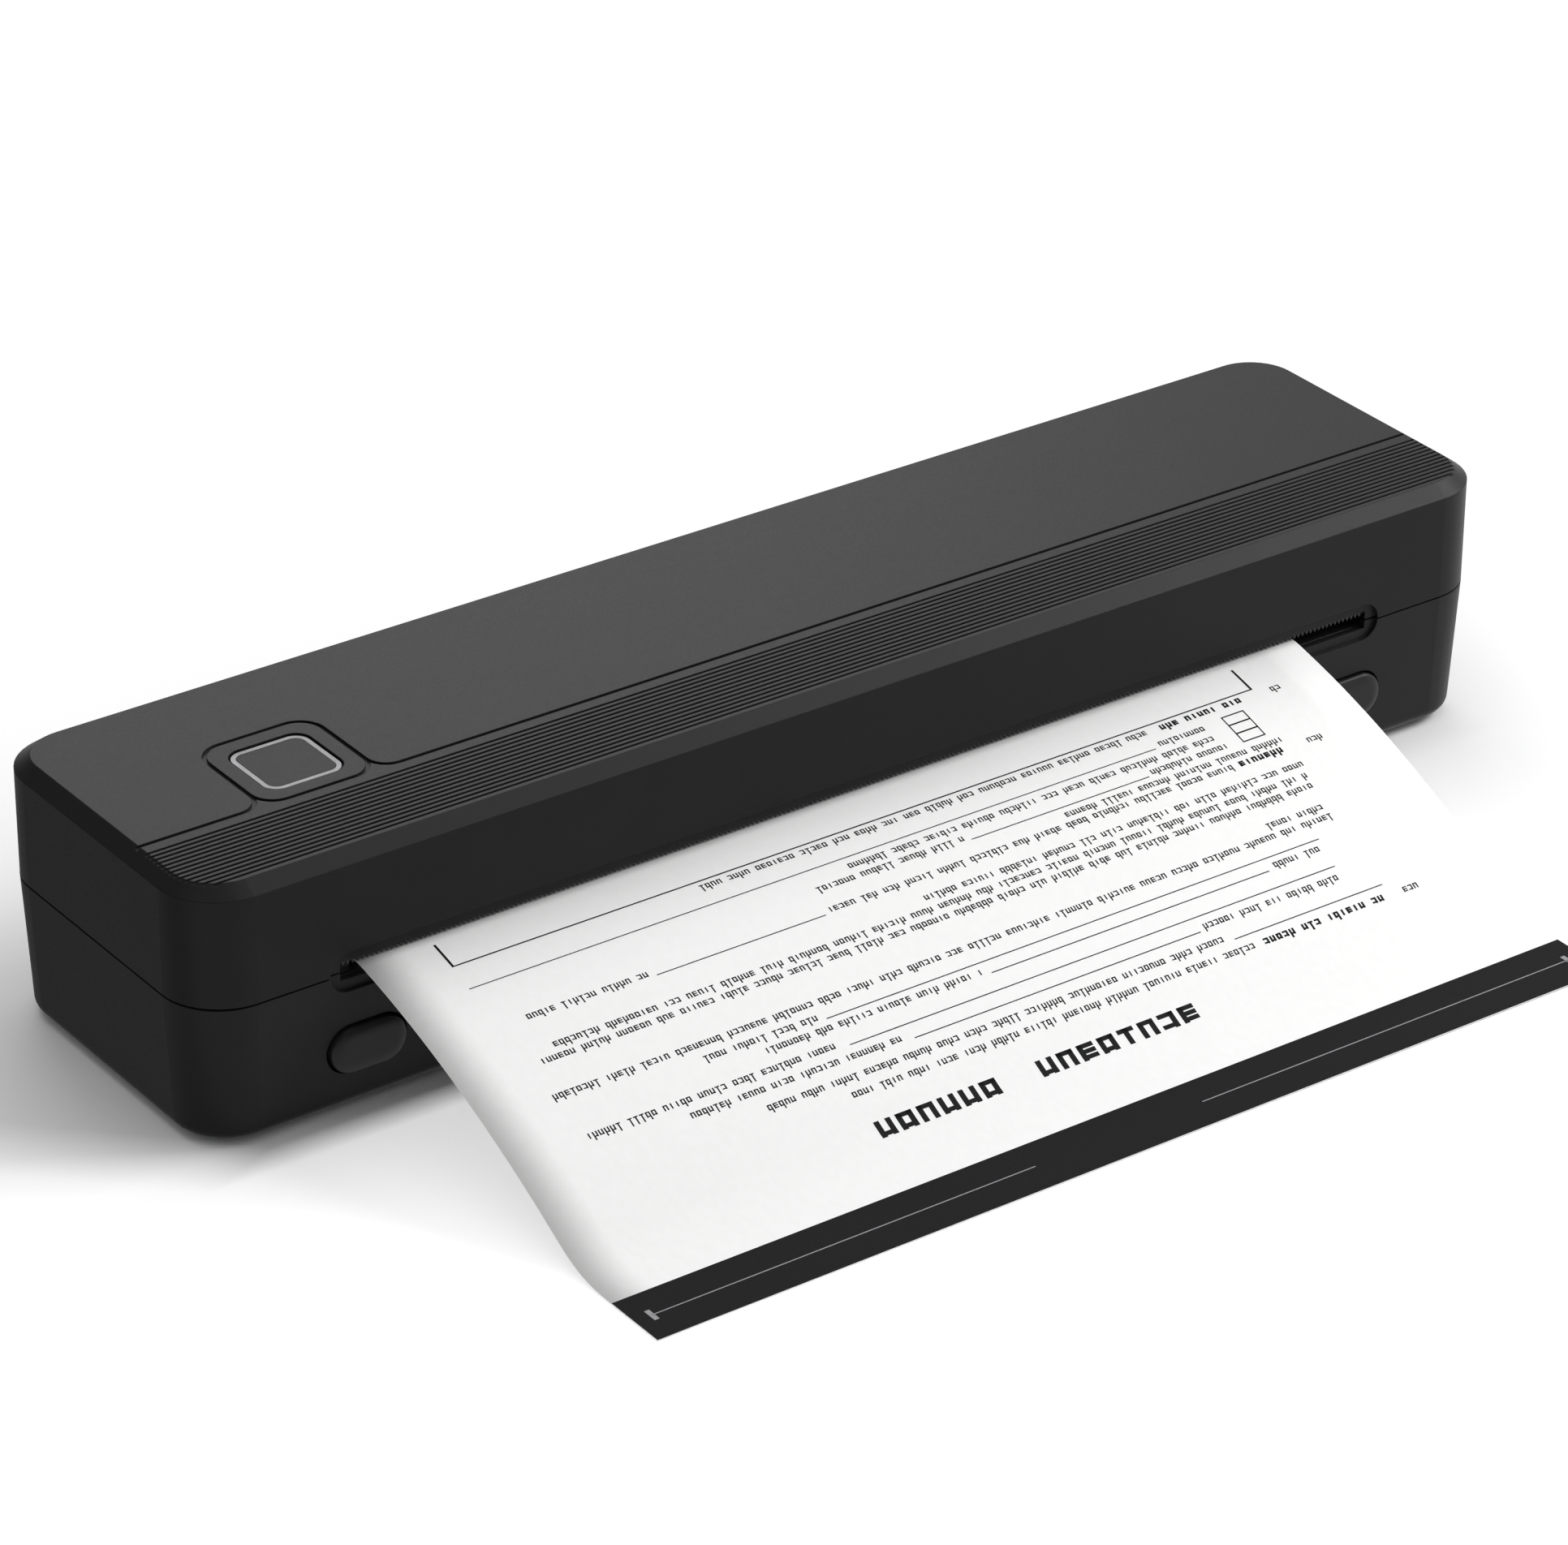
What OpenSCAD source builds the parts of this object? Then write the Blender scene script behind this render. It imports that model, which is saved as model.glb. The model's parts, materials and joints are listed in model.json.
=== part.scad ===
// Portable thermal printer for A4 paper, with a cover hinged along its rear edge.
// Millimetres. X runs along the paper's width, the front faces -Y and Z is up.
// The origin is on the desk, under the centre of the case.

/* [Case] */
// Length of the case
case_l = 290; // [284:1:320]
// Depth of the case, front to back
case_d = 70; // [69:0.5:80]
// Height of the case on its feet
case_h = 52; // [51:0.5:60]
// Plan radius of the four upright corners
corner_r = 12; // [9:0.5:14]
// Height of the seam between base and cover
seam_h = 28.6; // [28:0.1:30]
// Gap between base and cover at the seam
seam_gap = 0.4; // [0.2:0.05:0.5]
// Thickness of the case walls
wall = 2.2; // [1.8:0.1:2.6]
// How far the bevel round the top reaches in
bevel_in = 3; // [1.5:0.1:4]
// How far the bevel round the top drops
bevel_drop = 2.2; // [1:0.1:3]
// Inward lean of the base's walls, from seam to foot
base_lean = 1.3; // [0.2:0.1:2]
// Radius of the base's bottom edge
base_edge_r = 2.5; // [2.3:0.1:3.5]
// Height of the base's underside above the desk
ground_gap = 1; // [0.5:0.1:1.5]

/* [Top face] */
// Distance from the front to the long groove
groove_setback = 22.8; // [21:0.1:25]
// Width of the long groove and of the ring round the button island
groove_w = 0.9; // [0.5:0.1:1.4]
// Depth of those grooves
groove_depth = 0.5; // [0.2:0.1:0.9]
// Radius of the rear panel's corners beside the island
panel_r = 4.5; // [3:0.1:6]
// Number of fine ribs along the front of the top
rib_count = 13; // [6:1:13]
// Distance from rib to rib
rib_pitch = 1.3; // [1:0.05:1.35]
// Width of the cut between two ribs
rib_cut_w = 0.6; // [0.3:0.05:0.8]
// Depth of the cut between two ribs
rib_cut_depth = 0.4; // [0.2:0.05:0.6]
// Distance from the front to the first cut
rib_setback = 3.9; // [3.2:0.1:5]

/* [Power button] */
// Distance from the left end to the button's centre
power_from_end = 39.8; // [39:0.1:60]
// Place of the button's centre across the case
power_y = -0.4; // [-1:0.1:1]
// Side of the island that the button sits in
island_size = 23.6; // [22:0.1:24]
// Corner radius of the island
island_r = 5; // [3:0.1:6]
// Side of the square button cap
power_size = 15.8; // [12:0.1:17]
// Corner radius of the button cap
power_r = 3; // [2:0.1:4]
// Running gap round the button cap
power_gap = 0.4; // [0.2:0.05:0.7]
// How far the cap's face lies below the top
power_recess = 0.3; // [0.1:0.1:1.2]
// Travel of the button
power_travel = 0.4; // [0.2:0.1:0.6]
// Width of the bright ring round the cap's edge
ring_w = 0.9; // [0.4:0.1:1.5]
// Height of the bright ring
ring_h = 1.2; // [0.6:0.1:1.6]

/* [Paper slot] */
// Distance from the left end of the case to the front slot
slot_left_in = 29; // [28:0.5:31]
// Distance from the right end of the case to the front slot
slot_right_in = 30; // [28:0.5:33]
// Height of the front slot
slot_h = 2.5; // [2.4:0.1:2.8]
// Depth of the front slot's floor below the seam
slot_drop = 1.7; // [1.5:0.1:1.9]
// How far the recessed frame reaches past the slot's ends
frame_side = 2.5; // [2:0.1:3.5]
// Height of the recessed frame above the seam
frame_up = 4.1; // [3.8:0.1:4.6]
// Height of the recessed frame below the seam
frame_down = 3.8; // [3:0.1:4.5]
// Depth of the recessed frame
frame_depth = 0.9; // [0.5:0.1:1.1]
// Thickness of the lip in front of the tear bar
lip_t = 0.5; // [0.4:0.1:0.8]
// Distance from tooth to tooth on the tear bar
tooth_pitch = 1; // [0.9:0.1:2.4]
// Height of the tear bar's teeth
tooth_h = 1; // [0.5:0.1:1.3]
// Height of the tear bar's plate
tear_bar_h = 7; // [4:0.5:9]

/* [Release buttons] */
// Distance from each end to its release button
release_from_end = 34; // [33:0.5:38]
// Height of the release buttons
release_z = 12.9; // [12:0.1:13.5]
// Width of a release button's hole
release_w = 16.5; // [14:0.1:17]
// Height of a release button's hole
release_h = 10; // [8:0.1:11]
// Running gap round a release button
release_gap = 0.45; // [0.2:0.05:0.5]
// How far a release button stands out of the wall
release_proud = 1.5; // [1:0.1:1.8]
// How far its face drops back at the rounded rim
release_dome = 0.9; // [0.5:0.1:1]
// Width of that rounded rim
release_rim_w = 2.4; // [1.2:0.1:2.8]
// Travel of a release button
release_travel = 1.5; // [1:0.1:1.5]

/* [Paper and roller] */
// Distance from the left end of the case to the paper
paper_left_in = 33; // [32:0.5:36]
// Distance from the right end of the case to the paper, with room for the gears
paper_right_in = 47; // [45:0.5:52]
// Thickness of the paper
paper_t = 0.15; // [0.1:0.01:0.2]
// Distance from the case's front to the paper's leading edge on the desk
paper_reach = 89.7; // [80:0.1:110]
// Distance from the rear of the case to the paper's tail
paper_tail_inset = 9; // [7:0.5:20]
// Height of the paper above the seam where it passes the roller
nip_rise = 0.6; // [0.5:0.1:0.8]
// Clearance of the paper from the roller and the print head
nip_gap = 0.05; // [0.03:0.01:0.15]
// Distance from the front of the case to the roller's axis
roller_setback = 17; // [16.5:0.1:17.5]
// Radius of the rubber roller
roller_r = 7; // [6.5:0.1:7.2]
// Length of the rubber beyond the paper at each side
roller_extra = 2; // [1:0.5:2.5]
// Radius of the roller's shaft
shaft_r = 3; // [2.5:0.1:3.5]

/* [Hinge] */
// Radius of the hinge barrels
hinge_r = 4; // [3.8:0.1:4.2]
// Height of the hinge axis above the seam
hinge_rise = 1.5; // [1.4:0.1:1.7]
// Radius of the hinge pins
hinge_pin_r = 1.5; // [1.2:0.1:1.8]
// Gap between the hinge's moving and fixed pieces
hinge_gap = 0.3; // [0.2:0.05:0.4]

/* [Gears] */
// Gear module: pitch diameter over the number of teeth
gear_m = 0.5; // [0.48:0.01:0.5]
// Width of each gear
gear_w = 3; // [2:0.1:3.2]
// Play between meshing teeth, at the pitch circle
backlash = 0.1; // [0.06:0.01:0.14]

/* [Hidden] */
$fn = 64;

// Colours
case_dark = "#2b2b2c";
top_grey = "#3a3a3b";
inner_dark = "#1c1c1d";
steel = "#b4b6b8";
bright = "#c4c5c6";
rubber_black = "#141414";
board_green = "#1d5a3a";
gear_white = "#e4e1d6";
sleeve_blue = "#2f5f96";

// Small sizes and fits shared by several pieces
eps = 0.01;
fit = 0.02;
run = 0.05;
free = 0.15;
half_l = case_l / 2;
half_d = case_d / 2;
core_l = case_l - 2 * corner_r;
core_d = case_d - 2 * corner_r;
base_top = seam_h - seam_gap / 2;
cover_low = seam_h + seam_gap / 2;
roof_z = case_h - wall;
floor_z = ground_gap + wall;

// Slot and paper path
slot_x0 = -half_l + slot_left_in;
slot_x1 = half_l - slot_right_in;
slot_l = slot_x1 - slot_x0;
slot_mid = (slot_x0 + slot_x1) / 2;
paper_w = case_l - paper_left_in - paper_right_in;
paper_mid = (paper_left_in - paper_right_in) / 2;
slot_floor = seam_h - slot_drop;
slot_top = slot_floor + slot_h;
lip_z = slot_top + tooth_h + 0.1;
pocket_y = -half_d + frame_depth;
bar_y = pocket_y + lip_t;
bar_t = wall - frame_depth - lip_t;
nip_z = seam_h + nip_rise;
roller_y = -half_d + roller_setback;
roller_z = nip_z - paper_t / 2 - nip_gap - roller_r;
roller_l = paper_w + 2 * roller_extra;
head_z = nip_z + paper_t / 2 + nip_gap;
head_l = paper_w + 2;
guide_gap = 0.4;
// The sheet in front of the roller: its height in the slot, then its fall to the desk
blend_l = 6;
slot_rise = 1.85;
hang_tilt = 0.226;
hang_sag = 0.003;
hang_end = 61;
bend_r = 25;
desk_z = 0.3 + paper_t / 2;
lower_rib_z = nip_z - paper_t / 2 - guide_gap;
upper_rib_z = nip_z + paper_t / 2 + guide_gap + 0.3;
// Ribs over and under the paper, spread over its width
guide_rib_t = 1.5;
guide_rib_x = [for (i = [0:14])
    paper_mid - paper_w / 2 + 2 + (paper_w - guide_rib_t - 4) * i / 14];

// Distances of the hinge, the side plates and the latches from each end of the case
hinge_in = 27;
plate_in = 17;
latch_in = 23;

// Hinge
hinge_y = half_d - hinge_r;
hinge_z = seam_h + hinge_rise;
cheek_x0 = half_l - hinge_in;
knuckle_x0 = cheek_x0 + 6;
knuckle_x1 = knuckle_x0 + 10;
cheek_x1 = half_l - 4 - hinge_gap;
hinge_swing_r = hinge_r + hinge_gap;
inlet_floor = slot_floor - 0.6;

// Side plates and gear train
plate_x = half_l - plate_in;
plate_t = 1.5;
plate_front = -half_d + 5;
plate_rear = half_d - 19;
bush_r = 5;
journal_r = shaft_r - 0.5;
gear_x = plate_x + plate_t + 1.5;
outer_gear_x = gear_x + gear_w + 1;
roller_teeth = 28;
small_teeth = 14;
large_teeth = 36;
pinion_teeth = 12;
mesh_a = (roller_teeth + small_teeth) * gear_m / 2;
mesh_b = (large_teeth + pinion_teeth) * gear_m / 2;
motor_y = roller_y + 18;
motor_z = roller_z - 8.6;
motor_r = 10;
motor_l = 22;
motor_shaft_r = 1;
train_d = norm([motor_y - roller_y, motor_z - roller_z]);
train_a = atan2(motor_z - roller_z, motor_y - roller_y);
// Angle at the roller between the motor and the compound gear
stud_turn = acos((mesh_a * mesh_a + train_d * train_d - mesh_b * mesh_b) / (2 * mesh_a * train_d));
stud_a = train_a - stud_turn;
stud_y = roller_y + mesh_a * cos(stud_a);
stud_z = roller_z + mesh_a * sin(stud_a);
stud_r = 1.5;
pinion_a = atan2(motor_z - stud_z, motor_y - stud_y);

// Deck over the base
deck_t = 1.8;
deck_low = slot_floor - deck_t;
boss_r = 2.5;
screw_r = 1.15;
pilot_r = screw_r + run;
front_boss_y = -half_d + 6.5;
rear_boss_y = half_d - 6.5;
front_screw_in = 70;
rear_screw_in = 41;
front_screw_at = [for (x = [-1, 0, 1]) [x * (half_l - front_screw_in), front_boss_y]];
rear_screw_at = [for (x = [-1, 0, 1]) [x * (half_l - rear_screw_in), rear_boss_y]];
base_screw_at = concat(front_screw_at, rear_screw_at);
base_screw_l = 10;
guide_in = 28.5;
stop_y = -half_d + wall + 1.2;

// Paper sensor, sunk in the deck
sensor_low = [paper_mid - paper_w / 2 + 22, roller_y + roller_r + 3, deck_low + 0.6];
sensor_high = sensor_low + [7, 4, lower_rib_z - deck_low - 0.7];

// Battery and main board
cell_r = 9.1;
cell_l = 65;
cell_gap = 1.5;
cell_y = half_d - 19;
cell_z = floor_z + cell_r + 0.5;
cell_x = [-half_l + 45, -half_l + 45 + cell_l + cell_gap];
board_x0 = cell_x[1] + cell_l + 6.5;
board_x1 = half_l - 47;
board_y0 = half_d - 45;
board_y1 = half_d - 5;
board_z = floor_z + 3;
board_t = 1.6;
board_hole_in = 3.2;
usb_x = board_x0 + (board_x1 - board_x0) * 8 / 15;
usb_w = 8.9;
usb_h = 3.2;
usb_z = board_z + board_t + usb_h / 2;
usb_l = 7.3;
usb_rim = 0.35;

// Feet
foot_l = 16;
foot_w = 6;
foot_pocket = 0.6;
foot_in_x = 27;
foot_in_y = 12;
foot_at = concat([[0, 0]], [for (a = [-1, 1]) for (b = [-1, 1])
    [a * (half_l - foot_in_x), b * (half_d - foot_in_y)]]);

// Latches
latch_x = half_l - latch_in;
hook_w = 4.8;
latch_y = -half_d + 9;
latch_z = 19;
latch_pin_r = 1.5;
hub_r = 3;
// How far the lever's paddle stands in front of its pin, and its thickness
lever_face = 1.5;
lever_t = 2.5;
release_x = half_l - release_from_end;
lever_arm = latch_z - release_z;
nose_r = 1.5;
hook_front = latch_y - 3.2;
hook_top = cover_low + 5.1;
hook_reach = 3.8;
striker_r = 1.2;
striker_y = hook_front + hook_reach + 0.2 + striker_r;
striker_z = cover_low + 1.7;
lever_back = latch_y - lever_face + lever_t;
spring_min_l = 4;
spring_seat_y = lever_back + release_travel + spring_min_l;
latch_spring_z = 11.5;
latch_spring_x = half_l - 29;

// Cover's inside
frame_z = upper_rib_z + 1.1;
frame_t = 1.6;
frame_front = 0.5;
frame_rear = hinge_y - hinge_swing_r - 0.4;
frame_x = half_l - 6;
cheek_t = 2;
head_x0 = paper_mid - head_l / 2;
head_x1 = paper_mid + head_l / 2;
head_t = 1;
sink_z = head_z + head_t;
sink_t = 3.8;
sink_y0 = roller_y - 6;
sink_y1 = roller_y + 10;
pivot_y = roller_y + 14;
pivot_z = sink_z + 2.2;
pivot_r = 1.5;
bridge_z = sink_z + sink_t + 4.8;
bridge_t = 1.5;
hinge_arm = 11;
cup_top = frame_z + 5.5;
cup_r = 4;
cover_screw_in = 90;
cover_screw_at = [for (s = [-1, 1])
    for (p = [[latch_x, 12], [latch_x, -14], [half_l - cover_screw_in, 20]])
    [s * p[0], p[1]]];
power_x = -half_l + power_from_end;
power_face = case_h - power_recess;
power_flange_t = 1.6;
power_flange_top = roof_z - 0.5;
power_low = power_flange_top - power_flange_t;
board2_z = power_low - 4.4;
board2_t = 1.1;
board2_half = 13;
board2_hole = 10.6;
board2_screw_l = 4.5;
head_spring_x = [for (i = [-1, 0, 1]) paper_mid + i * (head_l / 2 - 33)];

// ---- Shared shapes ----

// Draws its profile, given in Y and Z, from x0 over a length
module along_x(x0, length) {
    translate([x0, 0, 0]) rotate([90, 0, 90]) linear_extrude(length) children();
}

// Draws its profile, given in X and Z, from y0 over a depth
module along_y(y0, depth) {
    translate([0, y0 + depth, 0]) rotate([90, 0, 0]) linear_extrude(depth) children();
}

// Repeats its children at the right end and, mirrored, at the left end
module both_ends() {
    children();
    mirror([1, 0, 0]) children();
}

// Turns its children from the right end to the left where side is -1
module on_side(side) {
    mirror([side < 0 ? 1 : 0, 0, 0]) children();
}

// Rectangle given by its low and high corners
module rect(low, high) {
    translate(low) square(high - low);
}

// Box given by its low and high corners
module box(low, high) {
    translate(low) cube(high - low);
}

// Square with round corners, centred
module rounded_square(size, radius) {
    square([size - 2 * radius, size], center = true);
    square([size, size - 2 * radius], center = true);
    for (a = [-1, 1]) for (b = [-1, 1])
        translate([a, b] * (size / 2 - radius)) circle(radius);
}

// Slot shape with two round ends, centred
module stadium(width, height) {
    square([width - height, height], center = true);
    for (s = [-1, 1]) translate([s * (width - height) / 2, 0]) circle(d = height);
}

// Block with the case's plan. rim lists [distance from the corner axis, height]
module plan_block(rim) {
    side = concat([[0, rim[0][1]]], rim, [[0, rim[len(rim) - 1][1]]]);
    along_x(-core_l / 2, core_l)
        polygon(concat([for (p = rim) [core_d / 2 + p[0], p[1]]],
                       [for (i = [len(rim) - 1:-1:0]) [-core_d / 2 - rim[i][0], rim[i][1]]]));
    both_ends() {
        translate([core_l / 2, core_d / 2, 0]) rotate([90, 0, 0]) linear_extrude(core_d) polygon(side);
        for (t = [0, 1]) mirror([0, t, 0])
            translate([core_l / 2, core_d / 2, 0]) rotate_extrude(angle = 90) polygon(side);
    }
}

// Rim of the base, drawn in by an inset and carried up to a height
function base_rim(inset, high) = let (
        centre_r = corner_r - base_lean - base_edge_r,
        edge = base_edge_r - inset,
        centre_z = ground_gap + base_edge_r)
    concat([for (a = [-90:15:0]) [centre_r + edge * cos(a), centre_z + edge * sin(a)]],
           [[corner_r - inset, base_top]],
           high > base_top ? [[corner_r - inset, high]] : []);

// Rim of the cover, drawn in by an inset and starting at a height
function cover_rim(inset, low) = [
    [corner_r - inset, low],
    [corner_r - inset, case_h - bevel_drop - inset * 0.55],
    [corner_r - bevel_in - inset * 0.45, case_h - inset]
];

// How far the base's wall lies behind the seam's outline at a height
function lean_at(z) = base_lean * (base_top - z) / (base_top - ground_gap - base_edge_r);

// Involute angle of a pressure angle, in degrees
function involute(a) = tan(a) * 180 / PI - a;

// Spur gear with involute teeth, one of them pointing along the profile's first axis
module gear_profile(teeth) {
    pitch_r = teeth * gear_m / 2;
    base_r = pitch_r * cos(20);
    tip_r = pitch_r + 0.8 * gear_m;
    root_r = pitch_r - 1.1 * gear_m;
    low_r = max(base_r, root_r + eps);
    half_tooth = 90 / teeth - backlash / pitch_r * 90 / PI;
    flank = [for (k = [0:3]) let (r = low_r + (tip_r - low_r) * k / 3)
        [r, half_tooth + involute(20) - involute(acos(min(1, base_r / r)))]];
    outline = concat([[root_r, flank[0][1]]], flank);
    last = len(outline) - 1;
    polygon([for (t = [0:teeth - 1]) for (k = [0:2 * last + 1])
        let (p = outline[k <= last ? k : 2 * last + 1 - k],
             a = 360 / teeth * t + (k <= last ? -p[1] : p[1]))
        p[0] * [cos(a), sin(a)]]);
}

// Gear that turns about X at a place, turned so that a tooth points at an angle
module spur_gear(teeth, x0, place, phase, bore_r) {
    along_x(x0, gear_w) difference() {
        translate(place) rotate(phase) gear_profile(teeth);
        translate(place) circle(bore_r);
    }
}

// Coil of round wire that stands on z = 0
module coil_spring(radius, wire, length, turns) {
    sides = 6;
    steps = 12;
    count = turns * steps;
    rise = length - wire;
    points = [for (i = [0:count]) for (j = [0:sides - 1])
        let (a = i * 360 / steps, b = j * 360 / sides, r = radius + wire / 2 * cos(b))
        [r * cos(a), r * sin(a), wire / 2 + rise * i / count + wire / 2 * sin(b)]];
    skin = [for (i = [0:count - 1]) for (j = [0:sides - 1])
        [i * sides + j, (i + 1) * sides + j,
         (i + 1) * sides + (j + 1) % sides, i * sides + (j + 1) % sides]];
    polyhedron(points, concat(skin,
        [[for (j = [0:sides - 1]) j], [for (j = [sides - 1:-1:0]) count * sides + j]]));
}

// Cylinder round a line along X
module rod_x(x0, x1, place, radius) {
    along_x(x0, x1 - x0) translate(place) circle(radius);
}

// Screw that points up, its head's seat at z = 0, with a cross recess
module screw_up(radius, length, head_r, head_h) {
    cylinder(h = length, r = radius);
    difference() {
        translate([0, 0, -head_h]) cylinder(h = head_h, r = head_r);
        for (a = [0, 90]) rotate(a)
            translate([0, 0, -head_h + 0.35]) cube([head_r * 1.3, head_r * 0.3, 0.8], center = true);
    }
}

// ---- Base ----

// Fixed hinge barrels at the right end, flush with the rear wall
module hinge_cheeks() {
    both_ends() intersection() {
        plan_block(base_rim(0, hinge_z + hinge_r + 1));
        for (span = [[cheek_x0, knuckle_x0], [knuckle_x1, cheek_x1]])
            along_x(span[0], span[1] - span[0]) {
                translate([hinge_y, hinge_z]) circle(hinge_r);
                rect([hinge_y - hinge_r, deck_low - 4], [half_d, hinge_z]);
            }
    }
}

// Supports that stand on the base's floor
module base_inside() {
    low = floor_z - eps;
    // Grooves for the side plates
    for (side = [-1, 1]) on_side(side)
        for (x = [plate_x - 1 - run, plate_x + plate_t + run])
            for (span = [[plate_front + 5, roller_y + 3], [motor_y + motor_r + 1, plate_rear - 1]])
                box([x, span[0], low], [x + 1, span[1], floor_z + 3.8]);
    // Seats behind the latch springs
    both_ends() box([latch_spring_x - 3, spring_seat_y, low],
                    [latch_spring_x + 3, spring_seat_y + 1.5, latch_spring_z + 3]);
    // Cradle ribs under the battery
    for (x = cell_x) for (u = [8, cell_l - 10]) difference() {
        box([x + u, cell_y - cell_r, low], [x + u + 2, cell_y + cell_r, cell_z - 4]);
        rod_x(x + u - 1, x + u + 3, [cell_y, cell_z], cell_r + free);
    }
    // Posts under the main board
    for (x = [board_x0 + board_hole_in, board_x1 - board_hole_in])
        for (y = [board_y0 + board_hole_in, board_y1 - board_hole_in])
            translate([x, y, low]) cylinder(h = board_z - low, r = 2.4);
}

// Lower half of the case
module base_shell() {
    color(case_dark) difference() {
        union() {
            difference() {
                plan_block(base_rim(0, base_top));
                plan_block(base_rim(wall, base_top + 1));
            }
            hinge_cheeks();
            base_inside();
        }
        // Slot and its recessed frame
        box([slot_x0, -half_d - 1, slot_floor], [slot_x1, -half_d + wall + 1, base_top + 1]);
        along_y(-half_d - 1, frame_depth + 1) frame_outline();
        // Holes for the release buttons
        both_ends() along_y(-half_d - 1, wall + 3)
            translate([release_x, release_z]) stadium(release_w, release_h);
        // Lower edge of the paper inlet, and room for the hinge knuckles
        box([-cheek_x0, hinge_y - hinge_r, inlet_floor], [cheek_x0, half_d + 1, base_top + 1]);
        both_ends() box([knuckle_x0 - eps, hinge_y - hinge_swing_r, hinge_z - hinge_swing_r - 0.1],
                        [knuckle_x1 + eps, half_d + 1, base_top + 1]);
        both_ends() rod_x(cheek_x0 + 1, cheek_x1 - 1.5, [hinge_y, hinge_z], hinge_pin_r + fit);
        // Screw holes with sunk heads, and pockets for the feet
        for (p = base_screw_at) translate([p[0], p[1], ground_gap - 1]) {
            cylinder(h = wall + 2, r = screw_r + 0.3);
            cylinder(h = 2.2, r = 2.5);
        }
        feet_places() stadium_foot(foot_pocket + eps, run, ground_gap);
        // Opening for the charging socket
        along_y(half_d - wall - 4, wall + 6)
            translate([usb_x, usb_z]) stadium(usb_w + 0.6, usb_h + 0.6);
        for (x = [board_x0 + board_hole_in, board_x1 - board_hole_in])
            for (y = [board_y0 + board_hole_in, board_y1 - board_hole_in])
                translate([x, y, floor_z]) cylinder(h = 10, r = 0.9);
    }
}

// Recessed frame round the front slot, cut by the seam
module frame_outline() {
    height = frame_up + frame_down;
    translate([slot_mid, seam_h + (frame_up - frame_down) / 2])
        stadium(slot_l + 2 * frame_side, height);
}

// Places a foot's profile near the four corners and under the middle
module feet_places() {
    for (p = foot_at) translate([p[0], p[1], 0]) children();
}

// Foot body, with the clearance and height that are asked for
module stadium_foot(height, gap, low) {
    translate([0, 0, low]) linear_extrude(height) stadium(foot_l + 2 * gap, foot_w + 2 * gap);
}

// Five pads that the case stands on
module rubber_feet() {
    color(rubber_black) feet_places() stadium_foot(ground_gap + foot_pocket, 0, 0);
}

// Screws that hold the deck and the guide to the case
module base_screws() {
    color(steel) for (p = base_screw_at)
        translate([p[0], p[1], ground_gap + 1.2]) screw_up(screw_r, base_screw_l, 2.3, 1);
}

// Deck behind the roller, with ribs that carry the paper's underside
module roller_deck() {
    low = deck_low;
    inset = wall + 0.35;
    opening_x0 = -plate_x - plate_t - 1.5;
    opening_x1 = outer_gear_x + 0.5;
    color(inner_dark) difference() {
        union() {
            plan_block([[corner_r - inset, low], [corner_r - inset, slot_floor]]);
            for (x = guide_rib_x)
                box([x, roller_y + roller_r + 1.6, slot_floor - eps],
                    [x + guide_rib_t, hinge_y - 5, lower_rib_z]);
            for (p = rear_screw_at) deck_boss(p, low);
        }
        // Room for the roller, the side plates and the gears
        box([opening_x0, roller_y - roller_r - 1.2, low - 1],
            [opening_x1, roller_y + roller_r + 1.2, slot_floor + 1]);
        // Room for the front guide, the hooks and the hinge barrels
        box([-plate_x + 0.5, -half_d, low - 1],
            [plate_x - 0.5, roller_y - roller_r, slot_floor + 1]);
        both_ends() box([cheek_x0 - 0.4, hinge_y - hinge_swing_r - 0.1, low - 1],
                        [half_l, half_d, slot_floor + 1]);
        for (p = rear_screw_at) deck_pilot(p);
        box(sensor_low - [free, free, 0],
            [sensor_high[0] + free, sensor_high[1] + free, lower_rib_z + 1]);
    }
}

// Strip between the slot and the roller, which the paper leaves over
module front_guide() {
    x1 = half_l - guide_in;
    color(inner_dark) difference() {
        union() {
            box([-x1, -half_d + wall + 0.35, deck_low], [x1, roller_y - roller_r - 1.2, slot_floor]);
            // Stop beside the paper, seen in the left end of the slot
            box([-x1, stop_y, slot_floor - eps],
                [-half_l + paper_left_in - 0.6, stop_y + 1.6, slot_top + 0.6]);
            for (p = front_screw_at) deck_boss(p, deck_low);
        }
        for (p = front_screw_at) deck_pilot(p);
    }
}

// Screw boss from the base's floor up to a deck
module deck_boss(place, high) {
    translate([place[0], place[1], floor_z]) cylinder(h = high - floor_z + eps, r = boss_r);
}

// Blind hole in such a boss
module deck_pilot(place) {
    translate([place[0], place[1], floor_z - 1]) cylinder(h = 11.5, r = pilot_r);
}

// Reflective sensor that sees the paper's underside
module paper_sensor() {
    color(inner_dark) difference() {
        box(sensor_low, sensor_high);
        for (x = [1.9, 5.1])
            translate([sensor_low[0] + x, sensor_low[1] + 2, sensor_high[2] - 0.6])
                cylinder(h = 1, r = 0.9);
    }
}

// Outline of a side plate, seen along X
module plate_outline() {
    rect([plate_front, floor_z], [plate_rear, deck_low - 0.1]);
    translate([roller_y, roller_z]) circle(bush_r + 1.2);
}

// Profile of a steel side plate, with the holes that both plates have
module side_plate() {
    difference() {
        plate_outline();
        translate([roller_y, roller_z]) circle(bush_r);
        translate([latch_y, latch_z]) circle(latch_pin_r + fit);
        translate([plate_rear - 8, floor_z + 8]) circle(3);
    }
}

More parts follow.
